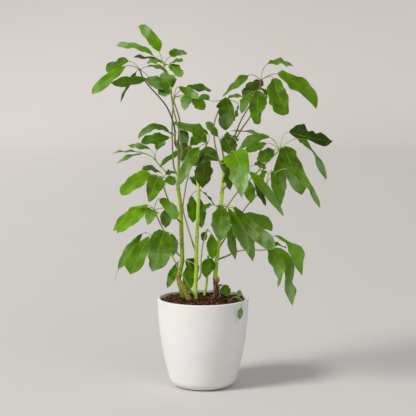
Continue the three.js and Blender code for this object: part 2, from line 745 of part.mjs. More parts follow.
const stems = {};
for (const [name, places] of Object.entries(STEMS)) {
  stems[name] = { solid: stemSolid(places, 0), clearance: stemSolid(places, GAP) };
}
const roots = AERIAL_ROOTS.map((places) => ({
  solid: rootSolid(places, 0),
  clearance: rootSolid(places, GAP),
}));

add('pot', potSolid(), MATERIALS.pot);

add('soil', toGeometry(soilSolid([
  ...Object.values(stems).map((stem) => stem.clearance),
  caneSolid(GAP),
  ...roots.map((root) => root.clearance),
  creeperStem(CREEPER.stem.slice(0, 3), 2 * GAP),
])), MATERIALS.soil);

for (const [name, stem] of Object.entries(stems)) {
  add(name, toGeometry(stem.solid), MATERIALS.stem);
}
add('woody_cane', toGeometry(caneSolid(0)), MATERIALS.bark);
roots.forEach((root, i) => {
  add(`aerial_root_${i + 1}`, toGeometry(root.solid.subtract(stems.stem_right.clearance)), MATERIALS.root);
});
LEAVES.forEach((plan, index) => {
  add(plan.name, toGeometry(leaf(plan, index)), MATERIALS.leaf);
});
add('creeper', toGeometry(creeperSolid()), MATERIALS.weed);

export default plant;
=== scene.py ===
"""A dwarf umbrella plant in a round white pot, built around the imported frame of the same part.

Lengths in the tables are millimetres; every mesh is in metres, +Z up, with the origin at the centre
of the pot's flat underside and -Y as the side seen first.
"""
import math
from collections import namedtuple

import bmesh
import bpy
import numpy as np
from bpy.props import FloatProperty, FloatVectorProperty, IntProperty, PointerProperty
from bpy.types import Operator, Panel, PropertyGroup
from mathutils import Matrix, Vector, noise


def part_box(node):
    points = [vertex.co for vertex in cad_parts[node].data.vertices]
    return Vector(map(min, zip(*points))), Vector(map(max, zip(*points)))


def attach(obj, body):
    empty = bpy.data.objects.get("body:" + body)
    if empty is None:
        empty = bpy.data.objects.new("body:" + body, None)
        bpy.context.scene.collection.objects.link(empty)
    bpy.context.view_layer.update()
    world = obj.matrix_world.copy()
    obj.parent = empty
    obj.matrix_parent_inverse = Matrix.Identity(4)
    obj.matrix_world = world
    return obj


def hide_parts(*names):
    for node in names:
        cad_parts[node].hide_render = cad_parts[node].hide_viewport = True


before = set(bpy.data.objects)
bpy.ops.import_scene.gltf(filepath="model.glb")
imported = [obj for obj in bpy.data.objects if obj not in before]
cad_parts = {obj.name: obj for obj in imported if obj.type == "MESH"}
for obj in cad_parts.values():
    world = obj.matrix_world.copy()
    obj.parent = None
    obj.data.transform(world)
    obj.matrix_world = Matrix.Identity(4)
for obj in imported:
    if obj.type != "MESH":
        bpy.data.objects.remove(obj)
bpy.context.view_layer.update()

bl_info = {
    "name": "Potted umbrella plant",
    "version": (1, 0, 0),
    "blender": (4, 5, 0),
    "location": "3D View > Sidebar > Umbrella plant",
    "description": "Builds a dwarf umbrella plant in a round white pot, piece by piece",
    "category": "Add Mesh",
}

MM = 0.001

# ---- Shape of the plant, the same as the solids' ----
# Places are read as they line up for an eye in front of the plant: x across and z up on the plane of
# the pot's axis, then moved along the line of sight to a depth behind that plane.
EYE = np.array([14.0, -3800.0, 950.0])
UP = np.array([0.0, 0.0, 1.0])
FRONT = np.array([0.0, -1.0, 0.0])
RIGHT = np.array([1.0, 0.0, 0.0])

# Stems, cane and aerial roots as (x, z, depth, radius).
STEMS = {
    "stem_left": [
        (-54, 225, 30, 6.5), (-58, 262, 30, 6.5), (-69, 302, 28, 6.5), (-66, 328, 26, 6),
        (-60, 357, 25, 6), (-61, 420, 22, 5.5), (-64, 520, 18, 5.5), (-71, 577, 15, 5),
        (-69, 620, 10, 4.5), (-68, 676, 5, 4), (-71, 704, 4, 3.5),
    ],
    "stem_middle": [
        (-22, 225, 2, 6), (-22, 276, 2, 5.8), (-19, 334, 2, 5.5), (-19, 391, 2, 5.5),
        (-14, 506, 4, 5), (-13, 563, 6, 4.5), (-16, 596, 8, 3.8), (-18, 640, 10, 3),
    ],
    "stem_right": [
        (38, 225, 42, 7), (37, 285, 42, 8), (35, 308, 40, 7), (38, 357, 38, 6), (44, 406, 36, 6),
        (48, 443, 34, 5.5), (51, 520, 32, 5.5), (55, 566, 30, 5.5), (58, 606, 28, 5), (61, 640, 26, 4),
    ],
    "shoot": [(1, 225, 50, 4), (3, 256, 50, 4), (9, 290, 48, 3.6), (13, 325, 45, 3.2), (15, 345, 43, 3)],
}
STUBS = {"stem_right": (299, 6, 3)}  # height, half height and rise of the old stub on a stem
FOOT_HEIGHT = 302  # below it the right stem is tan like its stub, and from 6 mm further down old bark
CANE = [(-76, 318, 5, 5), (-69, 304, 2, 7), (-57, 282, -4, 7.5), (-46, 262, -10, 8), (-34, 228, -20, 8)]
AERIAL_ROOTS = {
    "aerial_root_1": [(40, 296, 34, 2.2), (47, 280, 26, 2.2), (49, 262, 22, 2), (48, 232, 20, 2)],
    "aerial_root_2": [(36, 292, 34, 2), (32, 276, 24, 2), (31, 258, 20, 1.8), (30, 232, 18, 1.8)],
}

STALK_RADII = (2.8, 2.1, 2.0)
HUB_RADIUS = 3.4
LEAFLET_STALK_RADII = (1.15, 0.95)
BASE_SHARE = 0.45  # share of a leaflet's reach that its own stalk covers
BLADE_FOLD = 0.16  # rise of the edges over the midrib, as a share of the half width
BLADE_WAVE = 0.09  # height of the edge waves, as a share of the blade's width
STALK_LEAD = 0.35  # how far a leaflet's stalk runs straight into its blade
VEIN_SLANT = 0.17  # how much nearer the tip a side vein ends than it starts, as a share of the blade
RIM_HALF = 0.12  # half width added all along a blade, so that its ends keep a little
MIDRIB_HALF = 0.9  # how far the midrib's bulge reaches to each side
LEAF_SEED = 2000
CREEPER_SEED = 3000

# A leaf's stalk is (x, z, depth) from its stem to below the hub. A leaflet's row is (base x, base z,
# tip x, tip z, reach, width, arch, face, yaw, bow, tone): the tip lies `reach` behind the hub, the
# blade's middle stands `arch` above the straight line and `bow` beside it, and `face` turns the upper
# side from straight up (0) to the front (90) or the back (-90), with `yaw` turning that to the right.
# `tone` is how bright the green is: the leaflet's own green, and also painted light and shade on leaflets
# that lie in shade or in the shadow of others. A leaf's `brown` is how brown its stalks are.
Leaf = namedtuple("Leaf", "name hub brown stalk leaflets")
LEAVES = [
    Leaf("leaf_top_left", (-177, 902, -54), 0.95, [
        (-68, 676, 5), (-78, 692, -2), (-80, 736, -7), (-101, 796, -20), (-157, 863, -39),
        (-171, 884, -49)], [
        (-209, 925, -273, 901, 54, 34, 2, 55, 0, 0, 0.27),
        (-217, 911, -312, 834, -47, 34, 4, 60, 0, 0, 0.68),
        (-157, 876, -260, 865, -81, 36, -3, -55, 0, 0, 0.55),
        (-188, 895, -233, 809, 81, 22, 6, -30, 40, 0, 0.5),
        (-156, 911, -98, 894, -7, 28, 6, 20, 0, 0, 0.45)]),
    Leaf("leaf_crown", (-109, 915, 54), 0.5, [
        (-71, 698, 4), (-66, 722, 11), (-66, 760, 21), (-82, 812, 30), (-94, 845, 39), (-107, 893, 51)], [
        (-123, 952, -182, 1023, 34, 34, 8, 75, 0, 4, 0.75),
        (-139, 941, -242, 969, 40, 28, 10, 40, 0, 0, 0.55),
        (-91, 940, -43, 946, 68, 27, 5, 64, 0, 0, 0.6), (-94, 918, -56, 925, -54, 28, 4, 30, 0, 0, 0.4),
        (-94, 915, -60, 881, -68, 30, 3, 50, 0, 0, 0.55),
        (-112, 923, -157, 919, -47, 28, 4, 32, 0, 0, 0.6),
        (-120, 929, -195, 936, 94, 34, 2, -20, 0, 0, 0.1)]),
    Leaf("leaf_upper_left", (-90, 840, -148), 0.35, [
        (-69, 640, 8), (-60, 668, -31), (-66, 722, -83), (-84, 796, -135)], [
        (-93, 850, -163, 873, -27, 36, 4, 55, 0, 0, 0.48),
        (-92, 855, -115, 893, 47, 34, 2, 60, 0, 0, 0.4), (-88, 852, -90, 888, 68, 30, 2, 60, 0, 0, 0.65),
        (-95, 848, -146, 858, -81, 32, 2, 55, 0, 0, 0.5),
        (-95, 842, -125, 832, -81, 34, 2, 65, 0, 0, 0.62)]),
    Leaf("leaf_upper_middle", (-80, 826, 3), 0.5, [
        (-70, 600, 12), (-81, 622, 14), (-86, 676, 17), (-87, 740, 10), (-84, 803, 5)], [
        (-48, 851, 24, 844, 81, 34, 3, 42, 0, 0, 0.45), (-67, 854, -11, 820, -40, 32, 0, 50, 0, 0, 0.6),
        (-42, 830, -53, 788, -94, 32, 6, 70, 0, 0, 0.75), (-31, 820, 4, 789, -14, 36, 4, 60, 0, 0, 0.7),
        (-88, 838, -132, 852, 27, 32, 6, -50, 0, 0, 0.65)]),
    Leaf("leaf_upper_centre", (65, 820, 101), 0.5, [
        (60, 618, 27), (49, 636, 42), (36, 680, 61), (30, 740, 76), (37, 770, 88), (52, 803, 97)], [
        (62, 824, 62, 732, -47, 48, 6, 75, 0, -12, 0.25), (70, 821, 118, 823, 74, 30, 6, 20, 0, 0, 0.5),
        (17, 817, -11, 827, 40, 32, 2, 40, 0, 0, 0.4), (100, 800, 84, 758, 81, 30, 2, 60, 60, 0, 0.4),
        (62, 812, 62, 748, 81, 44, 4, -70, 0, 0, 0.3)]),
    Leaf("leaf_upper_right", (163, 873, 7), 0.85, [
        (58, 600, 28), (69, 622, 24), (74, 662, 18), (86, 705, 12), (106, 758, 8), (134, 806, 5),
        (157, 848, 5)], [
        (182, 918, 252, 911, 61, 34, 8, 34, 0, 0, 0.45), (127, 886, 53, 826, -40, 30, 2, 42, 0, 0, 0.35),
        (210, 890, 318, 792, 34, 44, 18, 55, 0, 0, 0.56),
        (198, 877, 240, 778, -81, 58, 4, 80, 0, 6, 0.34),
        (154, 867, 112, 823, 61, 36, 4, -60, 0, 0, 0.06),
        (160, 873, 146, 838, 108, 38, 6, -60, 0, 0, 0.06)]),
    Leaf("leaf_right_inner", (154, 842, -115), 0.8, [
        (56, 582, 29), (64, 614, 2), (77, 662, -25), (91, 702, -48), (105, 730, -62), (133, 772, -83),
        (152, 826, -108)], [
        (154, 842, 152, 748, -68, 50, 4, 85, 0, 0, 0.3),
        (129, 833, 108, 779, -27, 30, 4, 55, -30, 0, 0.32),
        (144, 836, 112, 812, 40, 34, 4, 50, 0, 0, 0.1), (162, 846, 182, 820, 40, 28, 6, 40, 30, 0, 0.2)]),
    Leaf("leaf_right_outer", (216, 678, 27), 0.1, [
        (50, 470, 33), (62, 505, 4), (100, 560, -12), (134, 594, -10), (176, 637, 0), (203, 663, 16)], [
        (187, 712, 101, 679, 14, 38, 10, 42, 0, 0, 0.45),
        (178, 695, 118, 671, -61, 34, 2, 50, 0, 0, 0.45), (243, 727, 366, 701, 20, 46, -4, 60, 0, 0, 0),
        (273, 707, 348, 592, -34, 24, 20, 50, 30, 0, 0.5),
        (200, 676, 155, 637, -88, 40, 5, 65, 0, 0, 0.26),
        (226, 684, 280, 549, -54, 54, 8, 75, 0, 0, 0.28),
        (217, 671, 215, 503, 68, 40, 4, 80, 0, 0, 0.58), (180, 716, 79, 730, 81, 30, 4, 6, 0, 0, 0.55)]),
    Leaf("leaf_right_drooping", (180, 583, -81), 0.25, [
        (43, 391, 36), (54, 411, 39), (76, 446, 31), (118, 509, 5), (152, 549, -46)], [
        (234, 623, 332, 512, -54, 34, 24, 50, 0, 0, 0.37),
        (194, 617, 220, 526, -27, 28, 4, 70, 0, 0, 0.4), (181, 612, 161, 592, 40, 28, 4, 50, 0, 0, 0.3)]),
    Leaf("leaf_right_front", (121, 625, -162), 0.4, [
        (54, 562, 30), (66, 574, -12), (88, 600, -81), (110, 616, -143)], [
        (133, 614, 228, 489, -40, 28, 6, 45, 0, 0, 0.7),
        (141, 596, 178, 517, 27, 30, 2, 60, 40, 0, 0.12),
        (126, 590, 137, 525, -27, 32, 4, 70, 0, 0, 0.35), (146, 634, 178, 624, 40, 32, 4, 40, 0, 0, 0.3)]),
    Leaf("leaf_centre_big", (70, 648, -202), 0.2, [
        (59, 614, 27), (50, 632, -24), (52, 646, -106), (62, 648, -178)], [
        (87, 671, 109, 540, -74, 72, 6, 85, 0, -8, 0.68), (68, 630, 76, 562, 54, 32, 4, 60, 20, 0, 0.3),
        # The fourth leaflet's low tone is painted shade for the shadow of the leaflet above it.
        (62, 652, 74, 600, 68, 36, 6, -50, 0, 0, 0.55), (41, 645, -33, 632, 125, 48, 24, 62, 0, 0, 0.06)]),
    Leaf("leaf_centre", (11, 695, -81), 0.3, [
        (-16, 610, 8), (-12, 640, -25), (0, 672, -59)], [
        (10, 698, -34, 739, -27, 38, 2, 55, 0, 0, 0.5), (2, 716, -87, 755, 40, 28, 2, 40, 0, 0, 0.35),
        (14, 720, -42, 750, 81, 28, 4, 20, 0, 0, 0.4), (-11, 684, -71, 573, -68, 36, 8, 60, 0, 0, 0.4),
        (6, 655, -2, 567, 88, 52, 6, -75, 0, 0, 0.08)]),
    Leaf("leaf_centre_right", (49, 702, -14), 0.3, [
        (61, 634, 26), (58, 656, 25), (54, 678, 5)], [
        (42, 715, 6, 753, -54, 32, 2, 50, 0, 0, 0.66), (60, 714, 84, 660, -61, 46, 6, 75, 0, 0, 0.15),
        (62, 714, 98, 700, 101, 34, 10, 25, 0, 0, 0.4)]),
    Leaf("leaf_centre_left", (-40, 679, 81), 0.45, [
        (-19, 374, 2), (-23, 391, 29), (-37, 434, 62), (-48, 472, 77), (-57, 510, 82), (-50, 566, 86),
        (-40, 620, 86)], [
        (-50, 680, -124, 628, -14, 28, 4, 22, 20, 0, 0.2),
        (-45, 688, -68, 713, -27, 34, 2, 55, 0, 0, 0.55), (-35, 689, -6, 708, 40, 34, 4, 50, 0, 0, 0.3),
        (-42, 690, -60, 640, 94, 40, 14, -50, 0, 0, 0.62)]),
    Leaf("leaf_left_upper", (-80, 722, -40), 0.3, [
        (-68, 658, 6), (-70, 676, -12), (-78, 706, -32)], [
        (-96, 728, -184, 708, -14, 28, 22, 40, 0, 0, 0.27),
        (-95, 712, -175, 696, -81, 38, 3, 55, 0, 0, 0.3),
        (-92, 722, -106, 728, -55, 26, 2, 40, 0, 0, 0.3), (-70, 728, -44, 694, -4, 32, 6, 60, 0, 0, 0.36)]),
    Leaf("leaf_left_pale", (-136, 651, 81), 0.3, [
        (-71, 572, 15), (-84, 590, 42), (-112, 622, 66), (-127, 638, 77)], [
        (-151, 679, -212, 689, 40, 30, 2, 28, 0, 0, 0.4),
        (-171, 669, -257, 667, -27, 26, 4, 6, 0, 0, 0.4),
        (-172, 666, -243, 638, -68, 26, 5, 10, 0, 0, 0.4),
        (-131, 677, -112, 703, 54, 32, 4, 40, 0, 0, 0.45)]),
    Leaf("leaf_left_mid", (-116, 596, -68), 0.35, [
        (-65, 470, 20), (-80, 492, -7), (-99, 536, -33), (-112, 574, -59)], [
        (-147, 607, -232, 549, -34, 42, 8, 60, 0, 0, 0.72),
        (-126, 600, -153, 529, -61, 48, 6, 80, 0, 0, 0.42),
        (-105, 606, -79, 612, 40, 26, 4, 25, 0, 0, 0.2),
        (-104, 598, -82, 576, -54, 32, 4, 55, 0, 0, 0.3),
        (-120, 612, -173, 621, 61, 32, 6, -42, 0, 0, 0.3)]),
    Leaf("leaf_left_lower", (-139, 505, -40), 0.25, [
        (-60, 370, 24), (-72, 380, 23), (-92, 411, 12), (-113, 449, -3), (-132, 489, -27)], [
        (-155, 519, -256, 446, 34, 36, 8, 60, 0, 0, 0.85),
        (-153, 512, -245, 440, -54, 38, 6, 55, 0, 0, 0.85),
        (-143, 506, -156, 462, -74, 42, 6, 75, 0, 0, 0.7),
        (-121, 538, -76, 480, -27, 32, 4, 60, 0, 0, 1), (-104, 508, -106, 454, 47, 34, 6, 60, 0, 0, 0.8)]),
    Leaf("leaf_left_lowest", (-128, 426, -81), 0, [
        (-22, 256, 2), (-33, 270, -25), (-50, 302, -47), (-68, 334, -62), (-93, 383, -72),
        (-118, 415, -80)], [
        (-174, 437, -243, 334, 34, 32, 3, 55, 0, 0, 0.55),
        (-154, 430, -207, 321, -47, 46, 5, 60, 0, 0, 0.5),
        (-110, 446, -146, 329, -88, 76, 2, 85, 0, 0, 0.38),
        (-90, 438, -84, 374, -27, 34, 4, 60, 30, 0, 0.6),
        (-112, 436, -90, 372, 54, 36, 8, -40, 0, 0, 0.4)]),
    Leaf("leaf_middle_small", (-9, 563, 61), 0.3, [
        (-14, 548, 6), (-12, 556, 30), (-10, 561, 51)], [
        (-33, 546, -28, 469, -7, 32, 4, 75, 0, 0, 0.5), (-8, 536, -5, 454, 27, 30, 4, 75, 0, 0, 0.58),
        (-2, 558, 34, 517, 27, 26, 3, 15, 0, 0, 0.3), (-12, 568, -30, 600, 81, 36, 10, 30, 0, 0, 0.4)]),
    Leaf("leaf_centre_low", (40, 517, -94), 0.3, [
        (51, 500, 32), (47, 506, -20), (43, 513, -65)], [
        (51, 518, 50, 417, -74, 54, 6, 85, 0, 0, 0.32), (72, 511, 131, 381, -34, 36, 4, 60, 0, 0, 0.85),
        (88, 514, 202, 394, -81, 42, -6, 60, 0, 0, 0.28), (108, 488, 197, 449, 81, 42, 8, 45, 0, 0, 0.6),
        (118, 488, 141, 358, 20, 34, 4, 60, 20, 0, 0.7), (66, 480, 92, 363, 74, 30, 2, 65, 20, 0, 0.75),
        (25, 520, -3, 501, 27, 26, 4, 35, 0, 0, 0.3)]),
    Leaf("leaf_right_low", (185, 393, -27), 0.45, [
        (38, 362, 38), (52, 368, 34), (70, 375, 24), (92, 386, 15), (128, 392, 0), (166, 391, -22)], [
        (206, 432, 283, 318, 34, 36, 12, 55, 0, -14, 0.95),
        (199, 396, 256, 230, -27, 40, 14, 60, 0, -16, 0.55),
        (188, 394, 212, 283, -81, 42, 4, 75, 0, -13, 0.55),
        (190, 400, 236, 396, 101, 34, 8, 20, 0, 0, 0.4)]),
    Leaf("leaf_inner_low", (12, 449, -16), 0.05, [
        (-20, 300, 2), (-8, 318, -16), (-6, 357, -19), (-1, 406, -19), (6, 430, -18)], [
        (24, 437, 27, 364, 7, 32, 3, 75, 0, 0, 0.7), (11, 443, -2, 418, 40, 22, 2, 60, 0, 0, 0.5)]),
    Leaf("leaf_inner_lowest", (14, 372, 20), 0.2, [
        (15, 335, 44), (15, 350, 34), (14, 364, 24)], [
        (12, 366, 8, 311, -20, 37, 4, 80, 0, 0, 0.6), (18, 368, 26, 330, 5, 26, 2, 70, 0, 0, 0.82)]),
    Leaf("leaf_base_left", (-46, 360, 81), 0.1, [
        (-19, 345, 2), (-26, 352, 35), (-38, 358, 68)], [
        (-40, 350, -42, 272, -14, 36, 4, 80, 0, 0, 0.68),
        (-72, 357, -102, 282, 14, 26, 1, 45, 20, 0, 0.7),
        (-44, 366, -20, 310, 94, 38, 10, -60, 0, 0, 0.4)]),
    Leaf("leaf_base_right", (50, 290, 38), 0.3, [
        (37, 284, 42), (45, 290, 41)], [
        (54, 286, 72, 257, -24, 30, 4, 55, 0, 0, 0.4), (58, 290, 68, 264, 12, 26, 3, 50, 0, 0, 0.7)]),
]

# Leaflets with an uneven outline: half widths at even steps from base to tip, in tenths of half the
# width, first of the margin on the left hand and then of the one on the right hand of somebody who
# walks up the leaflet as it is seen from the front.
MARGINS = {
    ("leaf_top_left", 0): ((1, 4, 6, 7, 8, 9, 9, 9, 9, 8, 3), (1, 8, 10, 10, 10, 9, 9, 9, 9, 8, 3)),
    ("leaf_top_left", 1): ((1, 4, 6, 8, 9, 9, 9, 9, 9, 7, 1), (1, 4, 7, 9, 9, 8, 8, 9, 9, 7, 1)),
    ("leaf_top_left", 3): ((1, 6, 9, 8, 7, 6, 6, 5, 4, 2, 0), (1, 6, 9, 9, 7, 6, 5, 5, 4, 2, 0)),
    ("leaf_crown", 0): ((1, 6, 8, 9, 9, 9, 9, 8, 6, 3, 0), (2, 9, 11, 10, 9, 9, 9, 9, 8, 5, 0)),
    ("leaf_crown", 1): ((1, 3, 4, 5, 6, 7, 8, 9, 9, 8, 2), (1, 6, 9, 10, 10, 9, 9, 10, 10, 8, 2)),
    ("leaf_crown", 2): ((6, 11, 12, 12, 11, 10, 8, 7, 5, 3, 0), (3, 6, 7, 7, 6, 6, 6, 5, 4, 3, 0)),
    ("leaf_crown", 4): ((2, 6, 9, 10, 11, 11, 10, 10, 9, 7, 1), (2, 5, 7, 8, 8, 8, 8, 8, 8, 7, 1)),
    ("leaf_upper_centre", 0): ((1, 3, 4, 5, 6, 6, 6, 6, 6, 4, 1), (6, 12, 15, 14, 10, 8, 7, 10, 12, 10, 4)),
    ("leaf_upper_right", 1): ((1, 6, 9, 10, 9, 8, 6, 4, 3, 2, 0), (1, 7, 10, 10, 9, 8, 6, 4, 3, 2, 0)),
    ("leaf_upper_right", 2): ((2, 8, 7, 7, 8, 14, 15, 13, 12, 9, 2), (2, 6, 9, 10, 11, 9, 7, 6, 3, 1, 0)),
    ("leaf_upper_right", 3): ((3, 6, 7, 7, 8, 8, 8, 7, 5, 3, 1), (2, 4, 8, 10, 10, 10, 12, 11, 11, 9, 5)),
    ("leaf_right_inner", 0): ((3, 7, 9, 10, 10, 9, 8, 5, 4, 4, 3), (2, 4, 7, 9, 9, 9, 9, 8, 7, 5, 3)),
    ("leaf_right_outer", 2): ((3, 11, 15, 15, 7, 10, 8, 10, 7, 3, 0), (1, 4, 7, 11, 3, 4, 7, 9, 9, 6, 0)),
    ("leaf_right_outer", 3): ((4, 9, 10, 8, 4, 3, 4, 10, 12, 9, 3), (4, 9, 10, 7, 4, 3, 5, 11, 11, 7, 2)),
    ("leaf_right_outer", 5): ((3, 8, 10, 9, 10, 11, 10, 11, 10, 7, 1),
        (4, 8, 10, 10, 10, 10, 10, 9, 8, 6, 1)),
    ("leaf_right_drooping", 0): ((1, 4, 6, 7, 8, 7, 6, 7, 5, 4, 1), (1, 4, 6, 7, 7, 7, 6, 3, 5, 4, 1)),
    ("leaf_right_front", 0): ((2, 7, 9, 10, 10, 10, 9, 7, 6, 5, 1), (2, 7, 9, 10, 10, 9, 9, 8, 6, 4, 1)),
    ("leaf_centre_big", 0): ((5, 9, 9, 8, 7, 7, 5, 5, 4, 2, 0), (10, 10, 9, 9, 8, 8, 9, 7, 5, 3, 0)),
    ("leaf_centre_big", 3): ((1, 6, 10, 13, 15, 16, 15, 13, 10, 6, 1), (1, 5, 8, 9, 9, 8, 8, 7, 6, 4, 1)),
    ("leaf_centre", 3): ((1, 5, 8, 9, 9, 8, 8, 8, 6, 4, 0), (1, 6, 9, 10, 10, 9, 8, 7, 6, 4, 0)),
    ("leaf_left_mid", 0): ((1, 4, 7, 9, 10, 10, 10, 9, 8, 6, 2), (1, 7, 10, 11, 11, 10, 10, 9, 9, 8, 3)),
    ("leaf_left_mid", 1): ((4, 9, 11, 11, 10, 10, 9, 8, 6, 4, 1), (4, 8, 10, 11, 10, 9, 8, 7, 5, 3, 1)),
    ("leaf_left_lower", 2): ((5, 10, 10, 9, 9, 8, 7, 6, 4, 3, 0), (5, 10, 10, 9, 9, 8, 7, 6, 4, 3, 0)),
    ("leaf_left_lower", 3): ((2, 6, 8, 9, 10, 11, 12, 12, 11, 9, 5), (3, 6, 7, 7, 7, 7, 8, 8, 8, 7, 3)),
    ("leaf_left_lowest", 1): ((1, 4, 6, 8, 9, 10, 10, 10, 9, 6, 1), (1, 4, 6, 8, 9, 10, 11, 12, 12, 9, 1)),
    ("leaf_left_lowest", 2): ((3, 6, 8, 9, 10, 10, 10, 9, 8, 5, 1), (4, 7, 8, 8, 8, 7, 7, 6, 4, 3, 0)),
    ("leaf_centre_low", 2): ((2, 4, 6, 7, 8, 9, 10, 11, 11, 9, 3), (2, 5, 7, 8, 9, 10, 10, 10, 9, 7, 2)),
    ("leaf_centre_low", 3): ((1, 4, 7, 9, 10, 11, 12, 12, 12, 10, 5), (1, 4, 7, 9, 10, 10, 10, 9, 8, 6, 3)),
    ("leaf_right_low", 0): ((1, 2, 2, 3, 5, 10, 14, 14, 7, 3, 0), (1, 3, 4, 4, 6, 9, 9, 11, 10, 6, 1)),
    ("leaf_right_low", 1): ((2, 7, 10, 12, 11, 9, 6, 2, 6, 3, 0), (1, 4, 5, 5, 6, 6, 7, 10, 11, 7, 1)),
    ("leaf_right_low", 2): ((3, 8, 10, 10, 10, 10, 9, 6, 4, 3, 1), (3, 6, 9, 10, 9, 7, 7, 5, 1, 1, 0)),
}
EVEN_MARGIN = 0.06  # how ragged a margin is, as a share of the half width
RAGGED = {"leaf_right_low": 0.1, "leaf_upper_right": 0.08, "leaf_right_outer": 0.08,
          "leaf_right_drooping": 0.08}

# How much painted highlight, a pale sheen painted into the colour, lies over the outer part of a leaflet, by
# its place in the leaf.
EVEN_PAINTED_HIGHLIGHT = 0.04
PAINTED_HIGHLIGHT = {
    "leaf_top_left": {1: 0.3}, "leaf_crown": {0: 0.75, 1: 0.75, 2: 0.85, 4: 0.4, 5: 0.3},
    "leaf_upper_left": {0: 0.3, 1: 0.4, 2: 0.5, 3: 0.3, 4: 0.5},
    "leaf_upper_middle": {1: 0.75, 2: 0.65, 4: 0.5}, "leaf_upper_centre": {0: 0.3, 2: 0.3},
    "leaf_upper_right": {0: 0.5, 1: 0.3, 3: 0}, "leaf_right_inner": {0: 0, 1: 0.2, 3: 0},
    "leaf_right_outer": {0: 0.3, 2: 0, 3: 0.55, 5: 0.3, 6: 0.6, 7: 0.7}, "leaf_right_drooping": {0: 0.3},
    "leaf_right_front": {0: 0.35}, "leaf_centre_big": {0: 1, 2: 0.2}, "leaf_centre": {1: 0.3, 3: 0.5},
    "leaf_centre_right": {0: 0.6, 2: 0.5}, "leaf_centre_left": {3: 0.4},
    "leaf_left_upper": {0: 0.3, 3: 0.4}, "leaf_left_pale": {0: 0.5, 1: 0.6, 2: 0.6, 3: 0.4},
    "leaf_left_mid": {4: 0.4}, "leaf_left_lower": {2: 0.3, 3: 0.4, 4: 0.3},
    "leaf_left_lowest": {0: 0.45, 1: 0.1, 2: 0.3, 3: 0.4, 4: 0.4}, "leaf_middle_small": {1: 0.2},
    "leaf_centre_low": {0: 0.28, 1: 0.6, 2: 0.5, 4: 0.4, 5: 0.5},
    "leaf_right_low": {0: 0.3, 1: 0.5, 2: 0.35}, "leaf_base_left": {1: 0.3},
}

# Dry hairs that hang from the tip of a leaflet, as (x, z, depth).
DRY_TIPS = {"leaf_left_lowest": [(-242, 335, -47), (-247, 320, -48), (-253, 299, -49)]}

# The weed at the edge of the soil: (x, z, depth, radius) along its stem, and leaflets as
# (root x, root z, tip x, tip z, root depth, tip depth, width, arch, face).
CREEPER_STEM = [(68, 226, -50, 1.2), (73, 240, -53, 1.2), (86, 255, -62, 1.1), (104, 252, -80, 1),
                (112, 242, -92, 0.9), (110, 230, -98, 0.9)]
CREEPER_LEAFLETS = [(110, 231, 104, 190, -98, -104, 15, 2, 85), (98, 254, 110, 270, -73, -66, 18, 3, 75)]
CREEPER_STALK_SHARE = 0.15


# ---- Settings ----
def length(name, description, millimetres, most=50.0):
    return FloatProperty(name=name, description=description, default=millimetres * MM, min=0.0,
                         max=most * MM, precision=5, subtype="DISTANCE", unit="LENGTH")


def colour(name, description, red, green, blue):
    return FloatVectorProperty(name=name, description=description, default=(red, green, blue), size=3,
                               min=0.0, max=1.0, subtype="COLOR")


def share(name, description, value, most=1.0):
    return FloatProperty(name=name, description=description, default=value, min=0.0, max=most,
                         subtype="FACTOR" if most == 1.0 else "NONE")


def count(name, description, value):
    return IntProperty(name=name, description=description, default=value, min=2, max=400)


class PotSettings(PropertyGroup):
    wall: length("Wall", "Thickness of the pot's side", 7)
    lip_round: length("Lip rounding", "Height of the rounded lip", 3)
    base_radius: length("Base radius", "Radius of the flat underside", 66, 200)
    foot_round: length("Foot rounding", "Radius of the rounded lower edge", 32, 60)
    side_bulge: length("Side bulge", "How far the side stands outside a straight line", 8.2)
    colour: colour("Colour", "Matt white of the pot", 0.795, 0.795, 0.785)
    roughness: share("Roughness", "How matt the pot is", 0.62)


class SoilSettings(PropertyGroup):
    top: length("Level", "Height of the soil at the pot's wall", 246, 400)
    mound: length("Mound", "How much higher the soil is in the middle", 5)
    chips: count("Chips", "Bark chips for each ten square centimetres", 24)
    chip_length: length("Chip length", "Half length of the longest chips", 11)
    dark: colour("Dark bark", "Colour of the wet bark", 0.022, 0.0085, 0.004)
    light: colour("Light bark", "Colour of the dry bark", 0.34, 0.13, 0.052)


class StemSettings(PropertyGroup):
    ring_spacing: length("Node spacing", "Distance between the leaf scars on a stem", 33, 100)
    ring_rise: share("Node rise", "How far a leaf scar stands out, as a share of the radius", 0.10)
    cane_ring_spacing: length("Cane ring spacing", "Distance between the cane's rings", 9)
    green: colour("Stem green", "Fresh green of the young stems", 0.66, 0.90, 0.10)
    shade: colour("Stem shade", "Older, yellower bark of the stems", 0.40, 0.56, 0.045)
    stub: colour("Old stub", "Pinkish tan of the old stub on the right stem", 0.55, 0.30, 0.15)
    bark: colour("Cane bark", "Tan bark of the woody cane", 0.40, 0.31, 0.065)
    root: colour("Root", "Dry aerial roots", 0.50, 0.36, 0.22)


